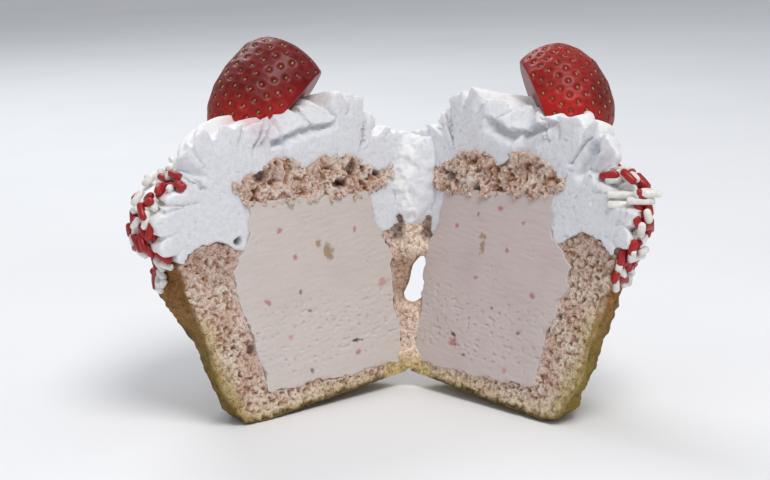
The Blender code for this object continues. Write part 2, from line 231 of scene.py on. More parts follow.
# ---------------------------------------------------------------- Sponge
# Pink butter sponge, baked in a paper case: an open, craggy crumb where the knife went through, a thin golden
# crust that turns olive lower down, and a torn strip of back wall that still joins the halves.
# Each half is a sheet laid round its form, carved for the tear, meshed finely, then roughened point by point.
AXIS_U = 0.0253
BASE_FLAT_RADIUS = 0.0105
WALL_HEIGHTS = (0.0, 0.0008, 0.0035, 0.009, 0.016, 0.024, 0.032, 0.0425)
WALL_RADII = (0.0205, 0.0236, 0.0258, 0.0280, 0.0297, 0.0312, 0.0329, 0.0347)
HINGE_RADII = (0.0250, 0.0254, 0.0263, 0.0280, 0.0297, 0.0312, 0.0329, 0.0347)
WALL_SHARES = (0.0, 0.019, 0.082, 0.21, 0.38, 0.56, 0.76)  # of the rim's height
RIM_HEIGHT = (0.0423, 0.0372)  # pairs are (at the outer wall, at the hinge)
SHOULDER_HEIGHT = (0.0462, 0.0376)
SHOULDER_RADIUS = (0.0242, 0.0285)
DOME_RISE = 0.0008
POCKET_RIM_HEIGHT = (0.0415, 0.0362)
POCKET_FOOT_HEIGHT = 0.0070
CORE_HEIGHTS = (0.004, 0.012, 0.021, 0.029, 0.0338, 0.0368, 0.044, 0.0515)
CORE_INNER_U = (0.0012, 0.0010, 0.0014, 0.0002, 0.0000, 0.0034, 0.0038, 0.0033)
CORE_OUTER_U = (0.0404, 0.0416, 0.0430, 0.0450, 0.0454, 0.0450, 0.0395, 0.0385)
CORE_FLOOR = ((0.0, 0.0042), (0.041, 0.0078))
CORE_TOP = ((0.0033, 0.0463), (0.0385, 0.0516))
TEAR_HEIGHTS = (0.0175, 0.0190, 0.0225, 0.0265, 0.0292)
TEAR_LEFT_X = (-0.0011, -0.0022, -0.0008, -0.0002, 0.0018)
TEAR_RIGHT_X = (0.0010, 0.0028, 0.0041, 0.0044, 0.0043)
TEAR_FRONT_Y = -0.0075
TEAR_DEPTH = 0.0195
FLARE = {LEFT: 0.0034, RIGHT: 0.0}  # how far the crust swells out behind the cut, just under the cream
BOX_CLEARANCE = 1e-5
SPONGE_SPACING = 0.00064


def between(pair, theta):
    """A value that changes from the outer wall's to the hinge's as theta goes from 0 to pi."""
    return pair[0] + (pair[1] - pair[0]) * (1 - np.cos(theta)) / 2


def along(line, u):
    (u0, w0), (u1, w1) = line
    return w0 + (w1 - w0) * (u - u0) / (u1 - u0)


def ray_radius(theta, centre_u, radius):
    """How far an off-centre circle reaches from the cupcake's axis in direction theta."""
    shift = centre_u - AXIS_U
    return shift * math.cos(theta) + math.sqrt(radius**2 - (shift * math.sin(theta)) ** 2)


def core_edges(w):
    return np.interp(w, CORE_HEIGHTS, CORE_INNER_U), np.interp(w, CORE_HEIGHTS, CORE_OUTER_U)


def core_radius(theta, w):
    inner, outer = core_edges(w)
    return ray_radius(theta, (inner + outer) / 2, (outer - inner) / 2)


def wall_radius(theta, w):
    return between((np.interp(w, WALL_HEIGHTS, WALL_RADII), np.interp(w, WALL_HEIGHTS, HINGE_RADII)), theta)


def step(low, high, values):
    """0 below low, 1 above high, and smooth between."""
    t = np.clip((np.asarray(values) - low) / (high - low), 0, 1)
    return t * t * (3 - 2 * t)


def flare(theta, w, side):
    height = step(0.021, 0.033, w) * (1 - 0.55 * step(0.036, 0.0415, w))
    return FLARE[side] * height * step(0.0, 0.42, np.sin(theta)) * step(2.9, 2.2, theta)


def rim_points(theta):
    """The baked rim, the domed crumb and the edge of the hollow, from the outside in, as (radius, height)."""
    rim = between(RIM_HEIGHT, theta)
    shoulder_r, shoulder_w = between(SHOULDER_RADIUS, theta), between(SHOULDER_HEIGHT, theta)
    outer_r = wall_radius(theta, rim)
    pocket = between(POCKET_RIM_HEIGHT, theta)
    return [
        (outer_r, rim),
        ((outer_r + shoulder_r) / 2, (rim + shoulder_w) / 2 + DOME_RISE),
        (shoulder_r, shoulder_w),
        (core_radius(theta, pocket), pocket),
    ]


def sponge_section(theta):
    rim, pocket = between(RIM_HEIGHT, theta), between(POCKET_RIM_HEIGHT, theta)
    points = [(0.0, 0.0), (BASE_FLAT_RADIUS, 0.0)]
    points += [(wall_radius(theta, rim * share), rim * share) for share in WALL_SHARES]
    points += rim_points(theta)
    points += [(core_radius(theta, w), w) for w in np.linspace(pocket, POCKET_FOOT_HEIGHT, 8)[1:]]
    return points + [(0.0, along(CORE_FLOOR, AXIS_U))]


def wrapped(across, along_it, place):
    """A sheet of squares laid round a form: place(s, t) says where each point goes, s and t from 0 to 1."""
    bm = bmesh.new()
    bmesh.ops.create_grid(bm, x_segments=across, y_segments=along_it, size=0.5)
    for vert in bm.verts:
        vert.co = place(vert.co.x + 0.5, vert.co.y + 0.5)
    bmesh.ops.remove_doubles(bm, verts=bm.verts, dist=2e-6)
    bmesh.ops.dissolve_degenerate(bm, edges=bm.edges, dist=1e-6)
    bmesh.ops.holes_fill(bm, edges=bm.edges, sides=0)
    bmesh.ops.recalc_face_normals(bm, faces=bm.faces)
    return bm


def swept(side, section_at, across, along_it):
    """A half-round form in the half's own frame, from the (r, w) points that section_at(theta) lists."""
    rows = []
    for k in range(along_it + 1):
        section = np.array(section_at(math.pi * k / along_it))
        spots, wanted = np.linspace(0, 1, len(section)), np.linspace(0, 1, across + 1)
        rows.append([np.interp(wanted, spots, line) for line in section.T])

    def place(s, t):
        r, w = (line[round(s * across)] for line in rows[round(t * along_it)])
        return Vector((AXIS_U + r * math.cos(math.pi * t), DEPTHS[side] * r * math.sin(math.pi * t), w))

    return wrapped(across, along_it, place)


def loose_object(bm, name="form"):
    made = bpy.data.objects.new(name, mesh_from(bm, name))
    bpy.context.scene.collection.objects.link(made)
    return made


def applied(form):
    """The form's mesh with its one modifier applied; the form is dropped."""
    graph = bpy.context.evaluated_depsgraph_get()
    mesh = bpy.data.meshes.new_from_object(form.evaluated_get(graph))
    bpy.data.objects.remove(form)
    bm = bmesh.new()
    bm.from_mesh(mesh)
    bpy.data.meshes.remove(mesh)
    return bm


def carved(bm, cutter, solver="EXACT"):
    """The form with one cutter's shape taken out."""
    form, tool = loose_object(bm), loose_object(cutter, "cutter")
    modifier = form.modifiers.new("cut", "BOOLEAN")
    modifier.operation = "DIFFERENCE"
    modifier.solver = solver
    modifier.object = tool
    done = applied(form)
    bpy.data.objects.remove(tool)
    return done


def joined(*forms):
    """Several closed forms in one mesh."""
    whole = bmesh.new()
    for bm in forms:
        held = mesh_from(bm, "held")
        whole.from_mesh(held)
        bpy.data.meshes.remove(held)
    return whole


def finely_meshed(bm, spacing):
    """One even skin of small squares over everything in the mesh."""
    form = loose_object(bm)
    modifier = form.modifiers.new("fine", "REMESH")
    modifier.mode = "VOXEL"
    modifier.voxel_size = spacing
    return applied(form)


def split_finer(bm, wanted, cuts=1):
    """The squares that lie wholly among the wanted points are split again."""
    bm.verts.ensure_lookup_table()
    edges = [e for e in bm.edges if wanted[e.verts[0].index] and wanted[e.verts[1].index]]
    bmesh.ops.subdivide_edges(bm, edges=edges, cuts=cuts, use_grid_fill=True)
    return bm


def points_of(bm):
    """Every point's place and the way it faces."""
    held = bpy.data.meshes.new("held")
    bm.to_mesh(held)
    spots, facing = np.empty(len(held.vertices) * 3), np.empty(len(held.vertices) * 3)
    held.vertices.foreach_get("co", spots)
    held.vertex_normals.foreach_get("vector", facing)
    bpy.data.meshes.remove(held)
    bm.verts.index_update()
    return spots.reshape(-1, 3), facing.reshape(-1, 3)


def lumps(points, size, seed=0.0):
    """Smooth random lumps about this far apart, from -1 to 1, one value for each point."""
    return np.array([noise.noise(Vector(p)) for p in np.asarray(points) / size + seed])


noise.seed_set(8)  # the random ways below would otherwise change from run to run


def shifts(points, size, seed=0.0):
    """Like lumps, but a random way to go for each point."""
    return np.array([noise.noise_vector(Vector(p)) for p in np.asarray(points) / size + seed])


def mixed(under, over, share):
    """Colours mixed by one share, or by a share for each point."""
    share = np.asarray(share)[..., None]
    return np.asarray(under)[..., :3] * (1 - share) + np.asarray(over)[..., :3] * share


def on_cut(spots, normals, facing, depth):
    """1 where a point faces forward and lies on the cut, and 0 off it."""
    return step(*facing, -normals[:, 1]) * step(*depth, spots[:, 1])


def shown_piece(name, mesh, finish, slot, *replaced):
    """The mesh as a smooth piece of the part's one body, in place of the solids it replaces."""
    mesh.shade_smooth()
    mesh.materials.append(finish)
    made = bpy.data.objects.new(name, mesh)
    bpy.context.scene.collection.objects.link(made)
    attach(made, "root")
    if replaced:
        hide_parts(*replaced)


def finished_piece(name, bm, moved, tones, side, finish, slot, *replaced, crumbly=1.0):
    """The piece, with its points moved, its tones painted on, and its place put into its mesh."""
    mesh = mesh_from(bm, name)
    own = np.asarray(moved, np.float32).ravel()
    mesh.vertices.foreach_set("co", own)
    mesh.attributes.new("own", "FLOAT_VECTOR", "POINT").data.foreach_set("vector", own)
    painted = np.column_stack([tones, np.ones(len(tones)) * crumbly]).astype(np.float32)
    mesh.attributes.new("tone", "FLOAT_COLOR", "POINT").data.foreach_set("color", painted.ravel())
    mesh.transform(half_matrix(side))
    if side == LEFT:
        mesh.flip_normals()  # the left half's frame is a mirrored one
    spots = np.empty(len(mesh.vertices) * 3)
    mesh.vertices.foreach_get("co", spots)
    low, high = np.array(cad_low) + BOX_CLEARANCE, np.array(cad_high) - BOX_CLEARANCE
    mesh.vertices.foreach_set("co", np.clip(spots.reshape(-1, 3), low, high).astype(np.float32).ravel())
    shown_piece(name, mesh, finish, slot, *replaced)


def torn_tube(side, heights, shape_at, steps, seed):
    """A rough strip up the hinge line; shape_at(height) is its half width, half depth and middle x and y."""
    to_half = half_in_hinge(side).inverted()

    def place(s, t):
        h = heights[0] + (heights[-1] - heights[0]) * t
        c, s = math.cos(2 * math.pi * s), math.sin(2 * math.pi * s)
        rough = 1 + 0.16 * noise.noise(Vector((c * 2.2, s * 2.2, h * 400 + seed)))
        half_wide, half_deep, middle_x, middle_y = shape_at(h)
        return to_half @ Vector((half_wide * c * rough + middle_x, half_deep * s * rough + middle_y, h))

    return wrapped(*steps, place)


def tear_cutter(side):
    """The hole torn through the strip, as a prism drawn from front to back."""
    bm = bmesh.new()
    outline = list(zip(TEAR_LEFT_X, TEAR_HEIGHTS)) + list(zip(TEAR_RIGHT_X, TEAR_HEIGHTS))[::-1]
    face = bm.faces.new([bm.verts.new((x, TEAR_FRONT_Y, h)) for x, h in outline])
    pushed = bmesh.ops.extrude_face_region(bm, geom=[face])["geom"]
    pushed = [part for part in pushed if isinstance(part, bmesh.types.BMVert)]
    bmesh.ops.translate(bm, vec=(0, TEAR_DEPTH, 0), verts=pushed)
    bmesh.ops.transform(bm, matrix=half_in_hinge(side).inverted(), verts=bm.verts)
    bmesh.ops.recalc_face_normals(bm, faces=bm.faces)
    return bm


def round_place(points, side):
    """Each point's turn about the cupcake's axis and its distance from it, as if on a true half round."""
    x, y = points[:, 0] - AXIS_U, points[:, 1] / DEPTHS[side]
    return np.arctan2(np.maximum(y, 0), x), np.hypot(x, y)


def in_hinge_frame(points, side):
    return points @ np.array(half_in_hinge(side))[:3, :3].T


def tinted(tree, pattern, *stops, by_fourth=False):
    """The painted tones times a pattern's shades, in full or only by the share in the tone's fourth value."""
    tone = add_node(tree, "ShaderNodeAttribute", attribute_name="tone")
    made = add_node(tree, "ShaderNodeMix", data_type="RGBA", blend_type="MULTIPLY")
    feed(tree, made.inputs[0], tone.outputs["Alpha"] if by_fourth else 1.0)
    feed(tree, made.inputs[6], tone.outputs["Color"])
    feed(tree, made.inputs[7], ramp(tree, pattern, *stops))
    return made.outputs[2]


def worked_out(tree, how, *values):
    made = add_node(tree, "ShaderNodeMath", operation=how)
    for socket, value in zip(made.inputs, values):
        feed(tree, socket, value)
    return made.outputs["Value"]


CRUMB_PALE = shade(230, 213, 198)
CRUMB_PINK = shade(214, 184, 166)
CRUMB_BEIGE = shade(222, 204, 164)
CRUMB_MAUVE = shade(190, 164, 152)
CRUMB_OLIVE = shade(170, 146, 80)
CRUMB_ICY = shade(222, 196, 190)
# Painted shade for the crumb's pits: tan, then brown where they are deepest.
CRUMB_PIT_SHADE = shade(188, 148, 124)
CRUMB_PIT_SHADOW = shade(126, 86, 62)
# Painted shadow for the insides of holes and gaps.
CAVE_SHADOW = shade(84, 54, 40)
CRUST_GOLD = shade(164, 122, 72)
CRUST_AMBER = shade(156, 102, 56)
CRUST_OLIVE = shade(136, 116, 54)
CRUST_YELLOW = shade(186, 162, 84)
# Dark crust: its own blotches, and painted shade in dents and on the left wall.
CRUST_BLOTCH_AND_SHADE = shade(82, 62, 38)
CRUST_SCORCHED = shade(96, 78, 38)
OLIVE_SHARE = {LEFT: 0.8, RIGHT: 0.45}
AMBER_SHARE = {LEFT: 0.7, RIGHT: 0.25}
CRUST_FROM = {LEFT: 0.0, RIGHT: 0.0014}  # how far behind the cut the crust begins
CRUMB_SIZE = 0.0016
CRUMB_DEPTH = 0.00078
SKIN_INSET = 0.0001
DENT_DEPTH = 0.00040
RAGGED_DEPTH = 0.0013
NOTCH_DEPTH = {LEFT: 0.0005, RIGHT: 0.0010}

# Holes that the knife opened in the crumb: where (u, w), how wide and how deep.
CAVES = {
    LEFT: (
        (0.0433, 0.0443, 0.0010, 0.0016),
        (0.0443, 0.0177, 0.0013, 0.0014),
        (0.0430, 0.0352, 0.0008, 0.0010),
    ),
    RIGHT: ((0.0428, 0.0430, 0.0010, 0.0016), (0.0460, 0.0250, 0.0009, 0.0010)),
}
STRIP_HEIGHTS = (0.0006, 0.0040, 0.0070, 0.0120, 0.0200, 0.0300, 0.0400)
STRIP_FRONT = (0.0030, 0.0036, 0.0016, 0.0024, 0.0028, 0.0042, 0.0050)
STRIP_ASIDE = (0.0022, 0.0018, 0.0010, 0.0005, 0.0, 0.0, 0.0)
STRIP_TONE_HEIGHTS = (0.0022, 0.0060, 0.016, 0.020, 0.028, 0.032, 0.038)
# The strip's tones by height; the upper ones are painted lighter, as painted light against the shade the ice
# cream casts there.
STRIP_TONES_WITH_PAINTED_LIGHT = (
    shade(214, 192, 134),
    shade(246, 222, 206),
    shade(244, 216, 198),
    shade(186, 156, 134),
    shade(184, 154, 132),
    shade(255, 234, 216),
    shade(246, 220, 202),
)

# The tone's fourth value says how crumbly the sponge is there: 1 on torn crumb, little on the crust.
sponge_finish, tree = new_finish(
    "baked_sponge", 0.88, Specular_IOR_Level=0.25, Subsurface_Weight=0.10, Subsurface_Scale=0.001
)
grain = clouds(tree, 1300.0, 2.0, Roughness=0.55, Distortion=0.6)
uneven = worked_out(tree, "MULTIPLY_ADD", clouds(tree, 3200.0, 2.0, Roughness=0.6), 0.6, grain)
# Darker grain, and specks brighter than the tone: partly pale crumb, partly painted glints.
grain_and_glints = (0.60, (0.55, 0.44, 0.36, 1)), (0.74, (0.94, 0.91, 0.89, 1)), (0.92, (1.17, 1.20, 1.22, 1))
put_on(tree, tinted(tree, uneven, *grain_and_glints, by_fourth=True), uneven, 1.0, 0.0006)


def crumb(points, size, seed):
    """An open crumb, torn rather than cut: how far each point sinks, as a share, and how much painted shade
    its pits get.
    """
    pulled = points + 0.5 * size * shifts(points, size * 0.9, seed)
    pits = step(0.02, 0.42, lumps(pulled, size * 0.75, seed))
    small = step(0.0, 0.45, lumps(pulled, size * 0.38, seed + 3))
    fine = lumps(points, size * 0.2, seed + 5)
    sink = 0.75 * pits + 0.35 * small + 0.15 * fine
    pit_shade = 0.55 * pits + 0.30 * small + 0.30 * pits * small + 0.12 * fine
    return np.clip(sink, -0.2, 1.1), np.clip(pit_shade, 0, 1)


def strip_shape(h):
    front = float(np.interp(h, STRIP_HEIGHTS, STRIP_FRONT))
    back = 0.0025 + 0.03 * h
    aside = float(np.interp(h, STRIP_HEIGHTS, STRIP_ASIDE))
    return 0.0012 + 1.25 * front, (back + front) / 2, aside, (back - front) / 2


def pit_shaded_tones(tones, pit_shade, share):
    """Painted shade: tan where the crumb sinks and brown in its deepest pits."""
    tones = mixed(tones, CRUMB_PIT_SHADE, step(0.05, 0.50, pit_shade) * share)
    return mixed(tones, CRUMB_PIT_SHADOW, step(0.45, 1.0, pit_shade) * share)


def with_shaded_caves(caves, spots, moved, tones, ragged, cut):
    """The holes that the knife opened, sunk into the cut face, with painted shadow in them."""
    for cave_u, cave_w, wide, deep in caves:
        reach = np.hypot(spots[:, 0] - cave_u, spots[:, 2] - cave_w) / wide + 0.5 * ragged
        there = step(1.2, 0.4, reach) * cut
        moved[:, 1] += deep * there
        tones = mixed(tones, CAVE_SHADOW, there * 0.7)
    return tones


for side, word in SIDES.items():
    form = carved(swept(side, sponge_section, 80, 64), tear_cutter(side))
    if side == LEFT:
        strip = torn_tube(side, STRIP_HEIGHTS, strip_shape, (32, 60), 2.0)
        form = joined(form, carved(strip, tear_cutter(side)))
    bm = finely_meshed(form, SPONGE_SPACING)
    spots, normals = points_of(bm)
    u, v, w = spots.T
    theta, radius = round_place(spots, side)
    hinge_x, hinge_y, hinge_z = in_hinge_frame(spots, side).T
    crust_shows = (radius > 0.0222) & (w < 0.036) & (theta < 2.6)
    strip_shows = np.hypot(hinge_x, hinge_y) < 0.010
    bm = split_finer(bm, (v < 0.0012) | crust_shows | (w < 0.0005) | strip_shows)
    spots, normals = points_of(bm)
    u, v, w = spots.T
    theta, radius = round_place(spots, side)
    hinge_x, hinge_y, hinge_z = in_hinge_frame(spots, side).T

    from_wall = wall_radius(theta, w) - radius
    near_skin = np.minimum(from_wall, w)
    cut = on_cut(spots, normals, (0.35, 0.8), (0.0016, 0.0008))
    in_strip = step(0.0085, 0.0050, np.hypot(hinge_x, hinge_y + 0.001))
    off_strip = 1 - in_strip
    outside = step(0.0016, 0.0006, near_skin) * off_strip
    crusty = outside * (1 - cut)
    sink, pit_shade = crumb(spots, CRUMB_SIZE, 3.0 + side)
    pit_shade = pit_shade * (0.62 + 0.38 * step(-0.30, 0.35, lumps(spots, 0.0062, 29.0)))
    coarse = lumps(spots, 0.0052, 11.0)
    notches = lumps(spots, 0.0030, 15.0)
    dents = lumps(spots, 0.0014, 5.0 + side)

    # The crumb sinks, the crust is dented, its edge is ragged, and the left half's crust swells.
    toasted = step(0.0060, 0.0005, near_skin + 0.0022 * coarse) * step(0.038, 0.022, w)
    torn_depth = CRUMB_DEPTH * (1 - 0.4 * toasted) * (1 - 0.3 * in_strip) * (1 - 0.55 * crusty)
    moved = spots - normals * (torn_depth * sink + SKIN_INSET)[:, None]
    moved += normals * (crusty * (DENT_DEPTH * dents - SKIN_INSET))[:, None]
    away = np.stack([np.cos(theta), np.sin(theta) / DEPTHS[side], np.zeros(len(theta))], 1)
    ragged_edge = RAGGED_DEPTH * coarse + NOTCH_DEPTH[side] * notches
    moved += away * (outside * ragged_edge * step(0.0225, 0.024, radius) * step(0.001, 0.004, w))[:, None]
    moved += away * (flare(theta, w, side) * step(0.020, 0.032, radius))[:, None]

    # Crumb: pink, toasted beside the crust, duller under the cream, olive low at the wall.
    pinkness = step(-0.5, 0.5, lumps(spots, 0.006, 2.0)) * (1 - 0.6 * step(0.010, 0.003, w))
    tones = mixed(CRUMB_PALE, CRUMB_PINK, pinkness)
    tones = mixed(tones, CRUMB_BEIGE, toasted * 0.85)
    tones = mixed(tones, CRUMB_MAUVE, step(0.031, 0.040, w + 0.003 * coarse) * off_strip * 0.65)
    olive = step(0.0042, 0.0004, from_wall + 0.0014 * coarse + 0.0010 * notches) * step(0.030, 0.016, w)
    tones = mixed(tones, CRUMB_OLIVE, olive * off_strip * OLIVE_SHARE[side])
    in_strip_too = in_strip[:, None]
    strip_tones = [np.interp(hinge_z, STRIP_TONE_HEIGHTS, [t[c] for t in STRIP_TONES_WITH_PAINTED_LIGHT]) for c in range(3)]
    tones = tones * (1 - 0.85 * in_strip_too) + np.stack(strip_tones, 1) * 0.85 * in_strip_too

    # Beside the filling the ice cream has soaked into the crumb and filled its pits a little.
    inner, outer = core_edges(w)
    past_ice = np.maximum(np.maximum(inner - u, u - outer), along(CORE_FLOOR, u) - w)
    icy = step(0.0024, 0.0004, past_ice + 0.0012 * notches + 0.0007 * dents) * cut * step(0.043, 0.040, w)
    icy = icy * (1 - 0.6 * in_strip)
    moved[:, 1] -= icy * torn_depth * 0.55 * np.clip(sink, 0, 1)
    # Painted shade in the crumb's pits, weaker where it is toasted, in the strip, or soaked with ice.
    tones = pit_shaded_tones(tones, pit_shade, (1 - 0.45 * toasted) * (1 - 0.55 * in_strip) * (1 - 0.6 * icy))
    tones = mixed(tones, CRUMB_ICY, icy * 0.55)
    # Painted shadow in the caves of the cut crumb.
    tones = with_shaded_caves(CAVES[side], spots, moved, tones, dents, cut)
    # Painted shadow in the gaps under the cream that bridges the halves.
    shadow_under_bridge = in_strip * step(0.0014, 0.0034, np.abs(hinge_x))
    shadow_under_bridge = shadow_under_bridge * step(0.0322, 0.0345, hinge_z + 0.0008 * notches)
    tones = mixed(tones, CAVE_SHADOW, shadow_under_bridge * 0.75)

    # Crust: gold above, olive below, blotched, with painted shade in its dents and on the left wall, scorched
    # where it stands.
    crust = mixed(CRUST_GOLD, CRUST_OLIVE, step(0.036, 0.012, w + 0.010 * coarse) * 0.85)
    crust = mixed(crust, CRUST_AMBER, step(0.026, 0.040, w + 0.006 * notches) * AMBER_SHARE[side])
    low_down = step(0.030, 0.010, w)
    crust = mixed(crust, CRUST_YELLOW, step(0.1, 0.6, lumps(spots, 0.0058, 19.0)) * low_down * 0.6)
    blotches_and_dent_shade = step(0.0, 0.7, lumps(spots, 0.0042, 9.0)) * 0.55 + step(0.15, 0.6, dents) * 0.45
    crust = mixed(crust, CRUST_BLOTCH_AND_SHADE, blotches_and_dent_shade)
    # Painted shade over the left half's wall, which is turned from the lamp; the right wall gets more yellow
    # low down.
    crust = mixed(crust, CRUST_BLOTCH_AND_SHADE, 0.18) if side == LEFT else mixed(crust, CRUST_YELLOW, 0.22 * low_down)
    edge = step(0.0012, 0.0002, near_skin + 0.0008 * notches + 0.0004 * dents) * off_strip
    behind = v - CRUST_FROM[side] + 0.0012 * notches + 0.0005 * dents
    ragged_skin = crusty * step(-0.0002, 0.0012, behind)
    tones = mixed(tones, crust, np.maximum(edge * (0.45 + 0.45 * step(-0.3, 0.3, notches)), ragged_skin))
    scorched = step(0.0018, 0.0004, w + 0.0006 * notches + 0.0006 * dents) * off_strip * step(0.004, 0.0, v)
    tones = mixed(tones, CRUST_SCORCHED, scorched * 0.9)
    crumbly = np.clip(1 - 0.35 * crusty, 0, 1)
    finished_piece("sponge_" + word, bm, moved, tones, side, sponge_finish, "cake", "cake", crumbly=crumbly)

# ---------------------------------------------------------------- Ice cream
# Strawberry ice cream packed into the hollowed sponge, cut while frozen: the knife dragged it smooth, left
# fine sideways lines and a band of small torn pits low down, and smeared the bits of fruit in it.
ICE_TONE = {LEFT: shade(209, 199, 193), RIGHT: shade(206, 192, 189)}
# Darker tone for random clouds in the ice cream, and painted shade in its pits and grains.
ICE_CLOUD_AND_PIT_SHADE = {LEFT: shade(199, 189, 184), RIGHT: shade(192, 177, 172)}
ICE_LOW = shade(214, 205, 200)
ICE_LOW_SHARE = {LEFT: 0.6, RIGHT: 0.3}
ICE_CRUMBED = shade(196, 168, 156)
FRUIT_RED = shade(178, 92, 96)
FRUIT_BROWN = shade(150, 112, 62)
FRUIT_DARK = shade(104, 80, 76)
FRUIT_PALE = shade(196, 140, 140)
ICE_SPACING = 0.0007
ICE_OVERLAP = 0.0003  # how far it reaches into the sponge and the lid round it
ICE_SETTLED = 0.0002
ICE_DOME = 0.0008
PIT_DEPTH = 0.00030
GRAIN_DEPTH = 0.00014

# Bits of fruit on the cut: u, w, half width and half height in millimetres, turn in degrees, colour, sink.
FRUIT_BITS = {
    LEFT: (
        (18.5, 35.5, 1.5, 2.3, -25, FRUIT_BROWN, 0.15),
        (20.9, 38.2, 0.9, 1.0, 0, FRUIT_BROWN, 0.1),
        (9.8, 39.1, 0.5, 0.9, 10, FRUIT_RED, 0.0),
        (31.2, 43.9, 0.9, 0.7, -30, FRUIT_RED, 0.0),
        (28.1, 36.5, 0.7, 0.8, 0, FRUIT_RED, 0.1),
        (37.6, 27.9, 1.0, 0.8, 20, FRUIT_RED, 0.0),
        (14.4, 9.1, 0.9, 0.8, 0, FRUIT_RED, 0.0),
        (14.1, 11.9, 1.6, 0.5, 12, FRUIT_DARK, 0.9),
        (26.3, 22.7, 0.8, 0.4, 20, FRUIT_DARK, 0.3),
        (3.9, 24.1, 1.6, 1.3, 0, FRUIT_PALE, 0.1),
        (28.5, 8.6, 0.6, 0.5, 0, FRUIT_DARK, 0.2),
        (28.1, 28.0, 0.5, 0.6, 0, FRUIT_DARK, 0.1),
        (33.0, 18.0, 0.9, 0.6, 30, FRUIT_PALE, 0.0),
    ),
    RIGHT: (
        (18.8, 38.6, 1.5, 0.8, 10, FRUIT_BROWN, 0.1),
        (19.0, 35.8, 0.9, 2.2, 0, FRUIT_BROWN, 0.1),
        (9.4, 39.4, 0.8, 0.8, 0, FRUIT_RED, 0.1),
        (23.0, 46.1, 1.0, 0.7, 20, FRUIT_RED, 0.1),
        (31.0, 44.2, 0.6, 0.6, 0, FRUIT_RED, 0.0),
        (18.3, 28.2, 0.8, 0.5, 10, FRUIT_RED, 0.0),
        (27.2, 36.7, 0.7, 0.9, 0, FRUIT_RED, 0.1),
        (37.0, 28.0, 0.9, 0.9, 0, FRUIT_RED, 0.2),
        (13.8, 10.8, 1.6, 1.3, 10, FRUIT_RED, 0.3),
        (13.4, 12.8, 0.9, 0.6, 0, FRUIT_DARK, 0.9),
        (16.2, 43.4, 0.6, 0.5, 0, FRUIT_DARK, 0.1),
        (25.0, 22.1, 0.6, 0.4, 0, FRUIT_DARK, 0.2),
        (34.4, 18.1, 0.7, 0.4, 20, FRUIT_DARK, 0.3),
        (17.9, 8.7, 0.7, 0.5, 0, FRUIT_DARK, 0.2),
        (32.0, 9.0, 0.9, 0.6, 0, FRUIT_PALE, 0.0),
    ),
}


def height_at(line, r, theta):
    """How high a line across the cut lies at a distance from the axis."""
    return along(line, AXIS_U + r * math.cos(theta))


def core_section(theta):
    floor_r = core_radius(theta, 0.006) + ICE_OVERLAP
    low = height_at(CORE_FLOOR, floor_r, theta) - ICE_SETTLED
    high = height_at(CORE_TOP, core_radius(theta, 0.050), theta) + ICE_OVERLAP
    points = [(r, height_at(CORE_FLOOR, r, theta) - ICE_SETTLED) for r in (0.0, floor_r * 0.5)]
    for w in np.linspace(low, high + ICE_DOME, 12):
        points.append((core_radius(theta, min(w, high)) + ICE_OVERLAP, w))
    return points + [(0.0, along(CORE_TOP, AXIS_U) + 0.0011)]


def fading(v, depth):
    """1 at the cut face, falling to 0 at a depth behind it."""
    return np.clip(1 - v / depth, 0, 1)


ice_finish, tree = new_finish(
    "strawberry_ice_cream",
    0.55,
    Specular_IOR_Level=0.4,
    Subsurface_Weight=0.35,
    Subsurface_Scale=0.002,
    Subsurface_Radius=(1.0, 0.55, 0.5),
)
own_place = add_node(tree, "ShaderNodeAttribute", attribute_name="own").outputs["Vector"]
dragged = add_node(
    tree, "ShaderNodeMapping", Vector=own_place, Scale=(150.0, 600.0, 850.0), Rotation=(0, math.radians(6), 0)
).outputs["Vector"]
drag = clouds(tree, 1.0, 4.0, dragged, Roughness=0.6)
streaked = tinted(tree, drag, (0.3, (0.965, 0.96, 0.96, 1)), (0.6, (1.01, 1.01, 1.01, 1)))
put_on(tree, streaked, worked_out(tree, "ADD", drag, clouds(tree, 900.0, 4.0, own_place)), 0.45, 0.0002)

